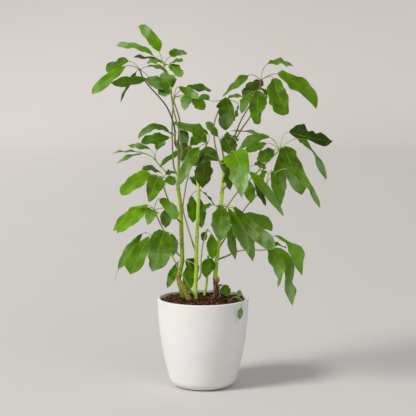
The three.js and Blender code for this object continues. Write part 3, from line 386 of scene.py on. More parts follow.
class LeafSettings(PropertyGroup):
    thickness: length("Blade thickness", "Thickness of a leaflet at its middle", 0.7, 5)
    rows: count("Rows", "Rows of faces along a leaflet", 40)
    columns: count("Columns", "Columns of faces on each half of a leaflet", 9)
    veins: count("Veins", "Side veins on each half of a leaflet", 9)
    quilting: length("Quilting", "Rise of the blade between its side veins", 0.35, 3)
    bright: colour("Bright green", "Upper side of the brightest leaflets", 0.145, 0.335, 0.004)
    dark: colour("Dark green", "Upper side of the darkest leaflets", 0.015, 0.037, 0.002)
    vein: colour("Vein", "Midrib and side veins", 0.28, 0.42, 0.03)
    underside: colour("Underside", "Paler lower side", 0.105, 0.190, 0.018)
    # Colour of the painted highlight, a pale sheen painted over the outer part of the leaflets.
    painted_highlight: colour("Bloom", "Pale waxy film on the outer part of a leaflet", 0.28, 0.40, 0.20)
    stalk_green: colour("Green stalk", "Fresh leaf stalks", 0.38, 0.52, 0.09)
    stalk_brown: colour("Brown stalk", "Stalks flushed with brown", 0.135, 0.068, 0.040)


class CreeperSettings(PropertyGroup):
    leaf: colour("Leaf", "Soft grey-green of the weed", 0.13, 0.24, 0.075)
    stem: colour("Stem", "Pale stem of the weed", 0.34, 0.36, 0.14)


class StageSettings(PropertyGroup):
    # Floor and backdrop colour; the floor's finish paints it lighter on the left and darker on the right as
    # painted shade.
    floor: colour("Floor", "Plain pale floor and backdrop", 0.63, 0.60, 0.575)
    key: share("Key light", "Strength of the soft light from the left", 2.55, 20.0)
    fill: FloatProperty(name="Fill light", description="Power of the weaker light in front", default=20.0,
                        min=0.0, unit="POWER")
    sky: share("Surround", "Strength of the even light from all round", 0.47, 5.0)


# ---- Curves and places ----
class Draws:
    """The same short run of random numbers as the solids use."""

    def __init__(self, seed):
        self.seed = seed

    def next(self):
        self.seed = (self.seed * 1664525 + 1013904223) % 4294967296
        return self.seed / 4294967296


def seen(x, z, depth):
    place = np.array([x, 0.0, z]) - EYE
    return EYE + place * (depth - EYE[1]) / -EYE[1]


def unit(vector):
    return vector / np.linalg.norm(vector)


def look_vector(face, yaw):
    lean, turn = math.radians(face), math.radians(yaw)
    return math.cos(lean) * UP + math.sin(lean) * (math.cos(turn) * FRONT + math.sin(turn) * RIGHT)


def bezier(start, middle, end, along):
    """Points and directions of a curve bent by one middle point."""
    s = np.asarray(along, float)[:, None]
    points = (1 - s) ** 2 * start + 2 * s * (1 - s) * middle + s ** 2 * end
    directions = (1 - s) * (middle - start) + s * (end - middle)
    return points, directions / np.linalg.norm(directions, axis=1)[:, None]


def smooth_path(places, steps):
    """An even run of points on a smooth curve through the given ones (centripetal Catmull-Rom)."""
    p = [np.asarray(place, float) for place in places]
    p = [2 * p[0] - p[1]] + p + [2 * p[-1] - p[-2]]
    dense = []
    for i in range(1, len(p) - 2):
        gaps = [max(np.linalg.norm(p[i + k] - p[i + k - 1]), 1e-6) ** 0.5 for k in (0, 1, 2)]
        slopes = []
        for k, (before, after) in enumerate(((gaps[0], gaps[1]), (gaps[1], gaps[2]))):
            a, b, c = p[i + k - 1], p[i + k], p[i + k + 1]
            slopes.append(((b - a) / before - (c - a) / (before + after) + (c - b) / after) * gaps[1])
        s = np.linspace(0, 1, 24, endpoint=False)[:, None]
        dense.append((2 * s ** 3 - 3 * s ** 2 + 1) * p[i] + (s ** 3 - 2 * s ** 2 + s) * slopes[0]
                     + (3 * s ** 2 - 2 * s ** 3) * p[i + 1] + (s ** 3 - s ** 2) * slopes[1])
    dense = np.vstack(dense + [p[-2][None]])
    run = np.concatenate([[0], np.cumsum(np.linalg.norm(np.diff(dense, axis=0), axis=1))])
    even = np.linspace(0, run[-1], steps + 1)
    return np.stack([np.interp(even, run, dense[:, axis]) for axis in range(3)], axis=1)


def spread(values, steps):
    """Values given at even shares of a path, at each of its points."""
    return np.interp(np.linspace(0, 1, steps + 1), np.linspace(0, 1, len(values)), values)


def outline(along):
    """Half width of a leaflet along its length: narrow root, widest past the middle, short tip."""
    return 0.1 + 0.9 * np.sin(np.pi * along ** 1.1) ** 0.75


def through(tenths, along):
    """A smooth run of shares through values, in tenths, that stand at even steps."""
    values = np.concatenate([[tenths[0]], tenths, [tenths[-1]]]) / 10.0
    place = np.asarray(along) * (len(tenths) - 1)
    step = np.minimum(place.astype(int), len(tenths) - 2)
    s = place - step
    a, b, c, d = (values[step + k] for k in range(4))
    return b + 0.5 * s * (c - a + s * (2 * a - 5 * b + 4 * c - d + s * (3 * (b - c) + d - a)))


# ---- Meshes that carry blades as faces and stalks as bare edges ----
BLADE, STALK, HUB = 0.0, 1.0, 2.0
POINT_VALUES = ("kind", "thickness", "along", "across", "upper", "tone", "painted_highlight")


class Carrier:
    """Gathers points, edges and faces, each point with the named values that the finish reads."""

    def __init__(self):
        self.points = []
        self.faces = []
        self.edges = []
        self.values = {name: [] for name in POINT_VALUES}
        self.total = 0

    def add_points(self, points, **values):
        start = self.total
        self.points.append(np.asarray(points, float) * MM)
        self.total += len(points)
        for name in POINT_VALUES:
            value = np.broadcast_to(np.asarray(values.get(name, 0.0), float), len(points))
            self.values[name].append(value)
        return start

    def add_path(self, points, thickness, tone):
        steps = len(points) - 1
        start = self.add_points(points, kind=STALK, thickness=np.asarray(thickness) * MM, tone=tone,
                                along=np.linspace(0, 1, steps + 1))
        self.edges += [(start + i, start + i + 1) for i in range(steps)]

    def add_hub(self, point, radius, tone):
        self.add_points([point], kind=HUB, thickness=radius * MM, tone=tone)

    def mesh(self, name):
        data = bpy.data.meshes.new(name)
        data.from_pydata(np.vstack(self.points).tolist(), self.edges, self.faces)
        for value_name, parts in self.values.items():
            attribute = data.attributes.new(value_name, "FLOAT", "POINT")
            attribute.data.foreach_set("value", np.concatenate(parts).astype(np.float32))
        data.update()
        return data


def lobe(along, margins, slowest, fastest):
    """A wave of random pace and start along one margin."""
    pace = slowest + (fastest - slowest) * margins.next()
    return np.sin(2 * np.pi * (pace * along + margins.next()))


def add_blade(carrier, curve, width, look, waves, phases, height, tone, painted_highlight, ragged, sides, settings):
    """A thin closed blade along a curve, with waved edges, quilting between its veins and a midrib."""
    margins = Draws(int(1000 * (waves + width + phases[0])))
    rows, columns = settings.rows, settings.columns
    along = np.linspace(0, 1, rows + 1)
    across = np.linspace(-1, 1, 2 * columns + 1)
    across = np.sign(across) * np.abs(across) ** 1.15
    far = np.abs(across)[None, :]
    centre, tangent = bezier(*curve, along)
    normal = look - (tangent @ look)[:, None] * tangent
    normal /= np.linalg.norm(normal, axis=1)[:, None]
    side = np.cross(tangent, normal)

    tip_share = 0.07 + 0.12 * margins.next()
    lobes = [1.0 + ragged * (lobe(along, margins, 1.6, 3.2) + 0.6 * lobe(along, margins, 4.2, 7.5) - 0.6)
             for _ in phases]
    shape = outline(along)
    if sides:
        taper = np.clip((1.0 - along) / 0.02, 0.0, 1.0) ** 0.5
        halves = [0.5 * width * taper * np.maximum(through(tenths, along), 0.0) * one + RIM_HALF
                  for tenths, one in zip(sides, lobes)]
    else:
        taper = np.clip((1.0 - along) / tip_share, 0.0, 1.0) ** 0.55
        halves = [0.5 * width * shape * taper * one + RIM_HALF for one in lobes]
    half = np.where(across[None, :] < 0, halves[0][:, None], halves[1][:, None])
    wave = [np.sin(2 * np.pi * (waves * along + phase))[:, None] for phase in phases]
    edge_wave = np.where(across[None, :] < 0, wave[0], wave[1])
    vein = np.cos(2 * np.pi * settings.veins * (along[:, None] - VEIN_SLANT * far))
    quilting = settings.quilting / MM * vein * far * (1 - far) * 4 * shape[:, None]
    rise = (BLADE_FOLD * half * far ** 1.35
            + height * shape[:, None] * far ** 1.7 * edge_wave - quilting)
    middle = centre[:, None, :] + side[:, None, :] * ((across[None, :] * half)[:, :, None])
    middle = middle + normal[:, None, :] * rise[:, :, None]

    rib = np.exp(-(across[None, :] * half / MIDRIB_HALF) ** 2) * (1 - 0.75 * along[:, None])
    skin = 0.5 * settings.thickness / MM * (1 - 0.55 * far) + 0.6 * np.exp(-along[:, None] / 0.03) * rib
    top = middle + normal[:, None, :] * (skin - 0.25 * rib)[:, :, None]
    under = middle - normal[:, None, :] * (skin + 0.5 * rib)[:, :, None]

    wide = 2 * columns + 1
    # Painted highlight: a pale sheen painted over the outer part of the blade.
    painted_sheen = painted_highlight * np.repeat(np.clip((along - 0.3) / 0.4, 0.0, 1.0), wide)
    shared = {"along": np.repeat(along, wide), "across": np.tile(across, rows + 1),
              "tone": tone, "painted_highlight": painted_sheen}
    first = carrier.add_points(top.reshape(-1, 3), upper=1.0, **shared)
    second = carrier.add_points(under.reshape(-1, 3), upper=0.0, **shared)
    i, k = np.meshgrid(np.arange(rows), np.arange(wide - 1), indexing="ij")
    a = (i * wide + k).ravel()
    upper_faces = np.stack([a, a + 1, a + 1 + wide, a + wide], axis=1)
    carrier.faces += (upper_faces + first).tolist()
    carrier.faces += (upper_faces[:, ::-1] + second).tolist()
    for row in range(rows):
        left, right = row * wide, row * wide + wide - 1
        carrier.faces.append((first + left, first + left + wide, second + left + wide, second + left))
        carrier.faces.append((first + right, second + right, second + right + wide, first + right + wide))
    last = rows * wide
    for column in range(wide - 1):
        carrier.faces.append((first + column, second + column, second + column + 1, first + column + 1))
        end = last + column
        carrier.faces.append((first + end, first + end + 1, second + end + 1, second + end))


def add_leaflet(carrier, root, base, tip, width, arch, bow, look, draws, tone, painted_highlight, brown, ragged, sides,
                settings):
    """A blade from its base to its tip, and the small stalk that joins it to the root."""
    across = unit(np.cross(tip - base, look))
    middle = 0.5 * (base + tip) + 2 * arch * UP + 2 * bow * across
    phases = (draws.next(), draws.next())
    waves = 1.6 + 1.2 * draws.next()
    height = BLADE_WAVE * width * (0.7 + 0.6 * draws.next())
    add_blade(carrier, (base, middle, tip), width, look, waves, phases, height, tone, painted_highlight, ragged, sides,
              settings)

    into_blade = unit(middle - base)
    lead = base - STALK_LEAD * np.linalg.norm(root - base) * into_blade
    points, _ = bezier(root, lead, base + 2.0 * into_blade, np.linspace(0, 1, 11))
    carrier.add_path(points, np.linspace(*LEAFLET_STALK_RADII, 11), brown)


# ---- Node trees ----
# A chip's half length, width and height, as shares of the longest one's, and how it lies, in radians.
LEAST_CHIP, LARGEST_CHIP = (0.30, 0.18, 0.10), (1.0, 0.55, 0.30)
CHIP_TILT, FULL_TURN = 0.35, 6.283
CHIP_SHAPES = (3.0, 7.0, 11.0, 17.0)  # places in the noise that each give another shape


def add_node(tree, kind, sockets=None, **settings):
    """Adds a node, with its settings, and links or fills the sockets that are given by name or place."""
    made = tree.nodes.new(kind)
    made.location = (220 * (len(tree.nodes) % 8), -260 * (len(tree.nodes) // 8))
    for key, value in settings.items():
        setattr(made, key, value)
    for key, value in (sockets or {}).items():
        if isinstance(value, bpy.types.NodeSocket):
            tree.links.new(value, made.inputs[key])
        else:
            made.inputs[key].default_value = value
    return made


def maths(tree, operation, first, second=0.0, clamp=False):
    """One Math node; returns its output."""
    return add_node(tree, "ShaderNodeMath", {0: first, 1: second}, operation=operation,
                    use_clamp=clamp).outputs[0]


def plus(tree, first, second, clamp=False):
    return maths(tree, "ADD", first, second, clamp)


def minus(tree, first, second):
    return maths(tree, "SUBTRACT", first, second)


def times(tree, first, second):
    return maths(tree, "MULTIPLY", first, second)


def swing(tree, value, amount):
    """Noise that swings evenly about zero."""
    return times(tree, minus(tree, value, 0.5), amount)


def near_ring(tree, turns):
    """Rises from 0 at each whole turn to 0.5 half way to the next, where a ring stands."""
    return maths(tree, "PINGPONG", turns, 0.5)


def vector_maths(tree, operation, sockets):
    return add_node(tree, "ShaderNodeVectorMath", sockets, operation=operation).outputs[0]


def remap(tree, value, low, high, to_low=0.0, to_high=1.0):
    """A smooth step of a value from one range to another."""
    sockets = {"Value": value, "From Min": low, "From Max": high, "To Min": to_low, "To Max": to_high}
    return add_node(tree, "ShaderNodeMapRange", sockets, interpolation_type="SMOOTHSTEP").outputs["Result"]


def new_geometry_tree(name, inputs):
    """A geometry tree with the given named inputs as (name, socket type, default)."""
    tree = bpy.data.node_groups.new(name, "GeometryNodeTree")
    tree.interface.new_socket("Geometry", in_out="INPUT", socket_type="NodeSocketGeometry")
    tree.interface.new_socket("Geometry", in_out="OUTPUT", socket_type="NodeSocketGeometry")
    for input_name, socket_type, default in inputs:
        socket = tree.interface.new_socket(input_name, in_out="INPUT", socket_type="NodeSocket" + socket_type)
        if default is not None:
            socket.default_value = default
    return tree, add_node(tree, "NodeGroupInput").outputs


def named_value(tree, name):
    return add_node(tree, "GeometryNodeInputNamedAttribute", {"Name": name}).outputs["Attribute"]


def store_value(tree, geometry, name, value):
    sockets = {"Geometry": geometry, "Name": name, "Value": value}
    return add_node(tree, "GeometryNodeStoreNamedAttribute", sockets, data_type="FLOAT",
                    domain="POINT").outputs["Geometry"]


def noise_value(tree, scale, detail):
    """Noise in a mesh's own space."""
    return add_node(tree, "ShaderNodeTexNoise", {"Scale": scale, "Detail": detail}).outputs[0]


def random_vector(tree, least, most, seed):
    return add_node(tree, "FunctionNodeRandomValue", {0: least, 1: most, "Seed": seed},
                    data_type="FLOAT_VECTOR").outputs[0]


def ball(tree, subdivisions):
    sockets = {"Radius": 1.0, "Subdivisions": subdivisions}
    return add_node(tree, "GeometryNodeMeshIcoSphere", sockets).outputs[0]


def moved(tree, mesh, offset):
    return add_node(tree, "GeometryNodeSetPosition", {"Geometry": mesh, "Offset": offset}).outputs[0]


def swollen(tree, mesh, rise):
    """Moves the points of a mesh along their normals."""
    normal = add_node(tree, "GeometryNodeInputNormal").outputs[0]
    return moved(tree, mesh, vector_maths(tree, "SCALE", {0: normal, "Scale": rise}))


def joined(tree, *parts):
    made = add_node(tree, "GeometryNodeJoinGeometry")
    for part in parts:
        tree.links.new(part, made.inputs[0])
    return made.outputs[0]


def real_meshes(tree, geometry):
    return add_node(tree, "GeometryNodeRealizeInstances", {"Geometry": geometry}).outputs[0]


def wearing(tree, geometry, material):
    sockets = {"Geometry": geometry, "Material": material}
    return add_node(tree, "GeometryNodeSetMaterial", sockets).outputs[0]


def finish_tree(tree, geometry):
    """Ends a tree with real meshes."""
    add_node(tree, "NodeGroupOutput", {"Geometry": real_meshes(tree, geometry)})
    return tree


def smooth(tree, geometry):
    sockets = {"Geometry": geometry, "Shade Smooth": True}
    return add_node(tree, "GeometryNodeSetShadeSmooth", sockets).outputs[0]


def tube(tree, path, sides, radius):
    """Turns paths into closed round tubes that remember how far round each point is."""
    circle = add_node(tree, "GeometryNodeCurvePrimitiveCircle", {"Resolution": sides, "Radius": 1.0})
    place = add_node(tree, "GeometryNodeSplineParameter").outputs["Factor"]
    profile = store_value(tree, circle.outputs["Curve"], "across", place)
    sockets = {"Curve": path, "Profile Curve": profile, "Scale": radius, "Fill Caps": True}
    return add_node(tree, "GeometryNodeCurveToMesh", sockets).outputs["Mesh"]


def part_of(tree, geometry, kind):
    """The points of one kind, and the edges and faces between them."""
    same = add_node(tree, "FunctionNodeCompare", {"A": named_value(tree, "kind"), "B": kind, "Epsilon": 0.1},
                    data_type="FLOAT", operation="EQUAL").outputs[0]
    return add_node(tree, "GeometryNodeSeparateGeometry", {"Geometry": geometry, "Selection": same},
                    domain="POINT").outputs["Selection"]


def leaf_tree():
    """Keeps the blades, and puts round stalks along the bare edges and a small knob on each hub."""
    tree, given = new_geometry_tree("Leaf stalks", [
        ("Sides", "Int", 8), ("Stalk material", "Material", None)])
    blades, paths, hubs = (part_of(tree, given["Geometry"], kind) for kind in (BLADE, STALK, HUB))
    curves = add_node(tree, "GeometryNodeMeshToCurve", {"Mesh": paths}).outputs["Curve"]
    stalks = tube(tree, curves, given["Sides"], named_value(tree, "thickness"))
    knob = swollen(tree, ball(tree, 3), minus(tree, noise_value(tree, 1.6, 1.0), 0.5))
    places = add_node(tree, "GeometryNodeMeshToPoints", {"Mesh": hubs}).outputs["Points"]
    knobs = add_node(tree, "GeometryNodeInstanceOnPoints", {
        "Points": places, "Instance": knob, "Scale": named_value(tree, "thickness")}).outputs[0]
    stalks = smooth(tree, joined(tree, real_meshes(tree, knobs), stalks))
    return finish_tree(tree, joined(tree, wearing(tree, stalks, given["Stalk material"]), blades))


def stem_tree():
    """A round stem along its path, with a low swelling at each leaf scar and a slightly uneven bark."""
    tree, given = new_geometry_tree("Stem with nodes", [
        ("Sides", "Int", 20), ("Spacing", "Float", 0.03), ("Rise", "Float", 0.1),
        ("Unevenness", "Float", 0.0004), ("Stem material", "Material", None)])
    curve = add_node(tree, "GeometryNodeMeshToCurve", {"Mesh": given["Geometry"]}).outputs["Curve"]
    run = add_node(tree, "GeometryNodeSplineParameter").outputs["Length"]
    drift = times(tree, noise_value(tree, 14.0, 0.0), 2.2)
    turns = plus(tree, maths(tree, "DIVIDE", run, given["Spacing"]), drift)
    swelling = times(tree, remap(tree, near_ring(tree, turns), 0.36, 0.5), given["Rise"])
    radius = times(tree, named_value(tree, "thickness"), plus(tree, swelling, 1.0))
    stem = tube(tree, store_value(tree, curve, "along", turns), given["Sides"], radius)
    stem = swollen(tree, stem, swing(tree, noise_value(tree, 90.0, 2.0), given["Unevenness"]))
    return finish_tree(tree, wearing(tree, smooth(tree, stem), given["Stem material"]))


def bark_chip(tree, place):
    """One rough chip of bark, about two across, as an instance; `place` picks its shape."""
    position = add_node(tree, "GeometryNodeInputPosition").outputs[0]
    where = vector_maths(tree, "ADD", {0: position, 1: (place, 2.0 * place, 0.0)})
    rough = add_node(tree, "ShaderNodeTexNoise", {"Vector": where, "Scale": 0.9, "Detail": 2.0})
    shift = vector_maths(tree, "SUBTRACT", {0: rough.outputs["Color"], 1: (0.5, 0.5, 0.5)})
    chip = moved(tree, ball(tree, 1), vector_maths(tree, "SCALE", {0: shift, "Scale": 2.2}))
    return add_node(tree, "GeometryNodeGeometryToInstance", {0: chip}).outputs[0]


def soil_tree():
    """Scatters bark chips over the part of the soil that is marked, each with its own size and shade."""
    tree, given = new_geometry_tree("Bark chips", [
        ("Density", "Float", 34000.0), ("Length", "Float", 0.007), ("Seed", "Int", 7),
        ("Bark material", "Material", None)])
    ground = given["Geometry"]
    marked = maths(tree, "GREATER_THAN", named_value(tree, "upper"), 0.5)
    scatter = add_node(tree, "GeometryNodeDistributePointsOnFaces", {
        "Mesh": ground, "Selection": marked, "Density": given["Density"], "Seed": given["Seed"]})
    shade = add_node(tree, "FunctionNodeRandomValue", {"Seed": 3}, data_type="FLOAT").outputs[1]
    points = store_value(tree, scatter.outputs["Points"], "tone", maths(tree, "POWER", shade, 1.6))
    size = random_vector(tree, LEAST_CHIP, LARGEST_CHIP, 11)
    turn = random_vector(tree, (-CHIP_TILT, -CHIP_TILT, 0.0), (CHIP_TILT, CHIP_TILT, FULL_TURN), 5)
    rotation = add_node(tree, "FunctionNodeEulerToRotation", {0: turn}).outputs[0]
    shapes = [bark_chip(tree, place) for place in CHIP_SHAPES]
    chips = add_node(tree, "GeometryNodeInstanceOnPoints", {
        "Points": points, "Instance": joined(tree, *shapes),
        "Pick Instance": True, "Rotation": rotation,
        "Scale": vector_maths(tree, "SCALE", {0: size, "Scale": given["Length"]})})
    bark = joined(tree, real_meshes(tree, chips.outputs[0]), ground)
    return finish_tree(tree, wearing(tree, bark, given["Bark material"]))


def run_tree(piece, tree, inputs):
    """Applies a geometry tree to a piece, with inputs by name, and leaves a plain mesh."""
    modifier = piece.modifiers.new(tree.name, "NODES")
    modifier.node_group = tree
    for item in tree.interface.items_tree:
        if item.item_type == "SOCKET" and item.in_out == "INPUT" and item.name in inputs:
            modifier[item.identifier] = inputs[item.name]
    bpy.context.view_layer.update()
    evaluated = piece.evaluated_get(bpy.context.evaluated_depsgraph_get())
    finished = bpy.data.meshes.new_from_object(evaluated)
    piece.modifiers.remove(modifier)
    rough = piece.data
    piece.data = finished
    bpy.data.meshes.remove(rough)
    finished.name = piece.name


# ---- Finishes ----
CORKY_SPOT = (0.45, 0.42, 0.18)
GREEN_GLOSS = (0.8, 1.0, 0.3)


def new_finish(name, roughness=None, specular=None):
    """A material with one Principled shader; plain numbers are set on its own sockets."""
    material = bpy.data.materials.new(name)
    material.use_nodes = True
    shader = material.node_tree.nodes["Principled BSDF"]
    for socket, value in (("Roughness", roughness), ("Specular IOR Level", specular)):
        if value is not None:
            shader.inputs[socket].default_value = value
    return material, material.node_tree, shader


def paint(tree, shader, base, roughness=None):
    """Links the shader's colour and, where it is given, its roughness."""
    tree.links.new(base, shader.inputs["Base Color"])
    if roughness:
        tree.links.new(roughness, shader.inputs["Roughness"])


def add_bump(tree, shader, height, strength, distance):
    made = add_node(tree, "ShaderNodeBump", {"Height": height, "Strength": strength, "Distance": distance})
    tree.links.new(made.outputs["Normal"], shader.inputs["Normal"])


def mark(tree, name):
    """A named value stored on the mesh."""
    return add_node(tree, "ShaderNodeAttribute", attribute_name=name).outputs["Fac"]


def own_space(tree):
    return add_node(tree, "ShaderNodeTexCoord").outputs["Object"]


def own_place(tree, axis):
    """One coordinate in the plant's own space, in metres."""
    return add_node(tree, "ShaderNodeSeparateXYZ", {0: own_space(tree)}).outputs[axis]


def grain(tree, scale, detail=3.0, stretch=(1.0, 1.0, 1.0), roughness=0.5):
    """Noise in the plant's own space."""
    mapped = add_node(tree, "ShaderNodeMapping", {"Vector": own_space(tree), "Scale": stretch})
    sockets = {"Vector": mapped.outputs["Vector"], "Scale": scale, "Detail": detail, "Roughness": roughness}
    return add_node(tree, "ShaderNodeTexNoise", sockets).outputs["Fac"]


def rgba(value, factor=1.0):
    """A colour, made darker or lighter by a factor, with its alpha."""
    return (*(min(1.0, factor * channel) for channel in value[:3]), 1.0)


def blend(tree, factor, first, second):
    """Mixes two colours."""
    return add_node(tree, "ShaderNodeMix", {0: factor, 6: first, 7: second}, data_type="RGBA").outputs[2]


def pot_finish(settings):
    material, tree, shader = new_finish("matt_white_pot", settings.roughness)
    cloud = remap(tree, grain(tree, 9.0, 4.0), 0.35, 0.75)
    warmer = rgba([channel * step for channel, step in zip(settings.colour, (0.965, 0.955, 0.94))])
    roughness = remap(tree, grain(tree, 60.0), 0.2, 0.8, settings.roughness - 0.06, settings.roughness + 0.06)
    paint(tree, shader, blend(tree, cloud, rgba(settings.colour), warmer), roughness)
    add_bump(tree, shader, grain(tree, 900.0, 2.0), 0.12, 0.0004)
    return material


def bark_soil_finish(settings):
    material, tree, shader = new_finish("bark_soil", specular=0.15)
    fleck = grain(tree, 420.0, 4.0, roughness=0.65)
    tone = plus(tree, times(tree, mark(tree, "tone"), 0.95), swing(tree, fleck, 0.8), clamp=True)
    few_light = maths(tree, "POWER", tone, 1.7)
    paint(tree, shader, blend(tree, few_light, rgba(settings.dark), rgba(settings.light)),
          remap(tree, fleck, 0.3, 0.7, 0.75, 0.98))
    add_bump(tree, shader, fleck, 0.6, 0.0012)
    return material


def stem_finish(name, young, old, settings, foot=0):
    """Smooth young bark: long streaks, a darker ring at each leaf scar, and an old stub over a dark foot.

    `foot` is the height below which the stub's tan starts, in millimetres.
    """
    material, tree, shader = new_finish(name, specular=0.3)
    streak = grain(tree, 60.0, 3.0, stretch=(3.0, 3.0, 0.35))
    base = blend(tree, remap(tree, streak, 0.38, 0.66), rgba(young), rgba(old))
    scar = remap(tree, near_ring(tree, mark(tree, "along")), 0.462, 0.485)
    height = plus(tree, own_place(tree, "Z"), swing(tree, streak, 30 * MM))
    stub = remap(tree, height, (foot + 4) * MM, foot * MM)
    dark_foot = remap(tree, height, (foot - 6) * MM, (foot - 11) * MM)
    base = blend(tree, stub, base, rgba(settings.stub))
    base = blend(tree, times(tree, dark_foot, 0.85), base, rgba(settings.bark, 0.35))
    ringed = blend(tree, times(tree, scar, 0.3), base, rgba(old, 0.35))
    spots = remap(tree, grain(tree, 520.0, 1.0, stretch=(1.0, 1.0, 0.6)), 0.66, 0.74)
    paint(tree, shader, blend(tree, times(tree, spots, 0.4), ringed, rgba(CORKY_SPOT)),
          remap(tree, streak, 0.3, 0.7, 0.42, 0.62))
    add_bump(tree, shader, plus(tree, streak, scar), 0.35, 0.0006)
    return material


def cane_finish(settings):
    """Tan bark with dark cracks between its rings."""
    material, tree, shader = new_finish("cane_bark", 0.85)
    crack = grain(tree, 260.0, 5.0, roughness=0.7)
    base = blend(tree, remap(tree, crack, 0.32, 0.58), rgba(settings.bark, 0.45), rgba(settings.bark))
    ridge = near_ring(tree, mark(tree, "along"))
    ring = times(tree, remap(tree, ridge, 0.38, 0.48), 0.6)
    paint(tree, shader, blend(tree, ring, base, rgba(settings.bark, 1.4)))
    add_bump(tree, shader, plus(tree, crack, ridge), 0.45, 0.0008)
    return material


def root_finish(settings):
    material, tree, shader = new_finish("dry_root", 0.8)
    fibre = grain(tree, 160.0, 4.0, stretch=(2.5, 2.5, 0.5))
    pale = remap(tree, fibre, 0.35, 0.65)
    paint(tree, shader, blend(tree, pale, rgba(settings.root, 0.4), rgba(settings.root)))
    add_bump(tree, shader, fibre, 0.6, 0.0008)
    return material


def leaf_finish(name, settings, bright, dark, vein, underside):
    """Waxy blade: green by tone, paler veins, a pale lower side, a soft uneven gloss, and a painted
    highlight: pale streaks of sheen painted over its outer part.
    """
    material, tree, shader = new_finish(name, specular=0.2)
    shader.inputs["Specular Tint"].default_value = rgba(GREEN_GLOSS)
    along, upper = mark(tree, "along"), mark(tree, "upper")
    far = maths(tree, "ABSOLUTE", mark(tree, "across"))
    mottle = swing(tree, grain(tree, 45.0, 4.0, roughness=0.6), 0.8)
    outer = times(tree, minus(tree, maths(tree, "MAXIMUM", far, along), 0.6), 0.22)
    tone = plus(tree, mark(tree, "tone"), plus(tree, mottle, outer), clamp=True)
    # Painted highlight: pale streaks of sheen painted into the blade's colour.
    streaks = remap(tree, grain(tree, 55.0, 3.0, stretch=(1.0, 1.0, 0.45)), 0.33, 0.66, 0.15, 1.15)
    painted_sheen = times(tree, mark(tree, "painted_highlight"), streaks)
    green = blend(tree, painted_sheen, blend(tree, tone, rgba(dark), rgba(bright)), rgba(settings.painted_highlight))

    lane = times(tree, minus(tree, along, times(tree, far, VEIN_SLANT)), float(settings.veins))
    side_vein = times(tree, remap(tree, near_ring(tree, lane), 0.07, 0.0), remap(tree, far, 0.95, 0.3))
    midrib = times(tree, remap(tree, far, 0.05, 0.012), remap(tree, along, 1.0, 0.4, 0.1, 0.5))
    rim = times(tree, remap(tree, far, 0.94, 0.99), 0.35)
    veins = maths(tree, "MAXIMUM", maths(tree, "MAXIMUM", times(tree, side_vein, 0.27), midrib), rim)
    upper_green = blend(tree, veins, green, rgba(vein))
    lower_green = blend(tree, times(tree, veins, 0.8), blend(tree, 0.5, green, rgba(underside)), rgba(vein))
    gloss = remap(tree, grain(tree, 22.0, 2.0), 0.3, 0.7, 0.40, 0.54)
    matt = times(tree, minus(tree, 1.0, upper), 0.2)
    paint(tree, shader, blend(tree, upper, lower_green, upper_green), plus(tree, gloss, matt))
    fine = times(tree, grain(tree, 700.0, 2.0), 0.35)
    add_bump(tree, shader, minus(tree, fine, veins), 0.6, 0.0009)
    return material


def stalk_finish(settings):
    """Leaf stalks, from fresh green to flushed with brown."""
    material, tree, shader = new_finish("leaf_stalk")
    streak = grain(tree, 50.0, 3.0)
    brown = plus(tree, mark(tree, "tone"), swing(tree, streak, 0.5), clamp=True)
    paint(tree, shader, blend(tree, brown, rgba(settings.stalk_green), rgba(settings.stalk_brown)),
          remap(tree, streak, 0.3, 0.7, 0.4, 0.58))
    return material


def weed_stem_finish(settings):
    material, tree, shader = new_finish("weed_stem", 0.6)
    paint(tree, shader, blend(tree, grain(tree, 80.0), rgba(settings.stem), rgba(settings.leaf)))
    return material


def floor_finish(settings):
    """Matt and pale, with painted shade: a little darker towards the right and lighter towards the left, the
    side the light comes from.
    """
    material, tree, shader = new_finish("floor_painted_falloff", 0.9)
    across = remap(tree, own_place(tree, "X"), -2.6, 2.6)
    # Painted shade and light: darker to the right, lighter to the left, with a little noise.
    painted_falloff = plus(tree, across, swing(tree, grain(tree, 1.2, 2.0), 0.15), clamp=True)
    paint(tree, shader, blend(tree, painted_falloff, rgba(settings.floor, 1.09), rgba(settings.floor, 0.84)))
    return material


# ---- Pieces ----
SHARP_TURN = math.radians(60)  # faces that meet at a sharper turn keep a crisp edge
FOOT_TURN = math.radians(76)  # how far the pot's rounded lower edge turns
SOIL_GAP = 1.8 * MM  # between the soil and the pot's wall
SOIL_FLOOR_GAP = 1.3 * MM  # by which the soil's underside stands higher than the wall is thick
SOIL_ROUGHNESS = 2.0 * MM  # most that the soil's surface rises or sinks
BARE_RIM = 5.5 * MM  # width of the edge of the soil that carries no chips


def new_piece(name, data, *materials):
    piece = bpy.data.objects.new(name, data)
    bpy.context.scene.collection.objects.link(piece)
    for material in materials:
        data.materials.append(material)
    return piece


def settle(piece, node):
    """Hands a finished piece to the frame: it rides on the one body and stands for its node."""
    piece.data.set_sharp_from_angle(angle=SHARP_TURN)
    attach(piece, "root")
    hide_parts(node)


def lathe(name, profile, sides):
    """A closed body of revolution about +Z from (radius, z) in metres, starting and ending on the axis."""
    shape = bmesh.new()
    points = [shape.verts.new((radius, 0.0, z)) for radius, z in profile]
    edges = [shape.edges.new(pair) for pair in zip(points, points[1:])]
    bmesh.ops.spin(shape, geom=points + edges, cent=(0, 0, 0), axis=(0, 0, 1), dvec=(0, 0, 0),
                   angle=2 * math.pi, steps=sides)
    bmesh.ops.remove_doubles(shape, verts=shape.verts, dist=1e-6)
    bmesh.ops.recalc_face_normals(shape, faces=shape.faces)
    shape.verts.index_update()
    # The spin leaves its faces in another order each run, so they are sorted.
    faces = sorted([vert.index for vert in face.verts] for face in shape.faces)
    data = bpy.data.meshes.new(name)
    data.from_pydata([vert.co[:] for vert in shape.verts], [], faces, shade_flat=False)
    shape.free()
    return data


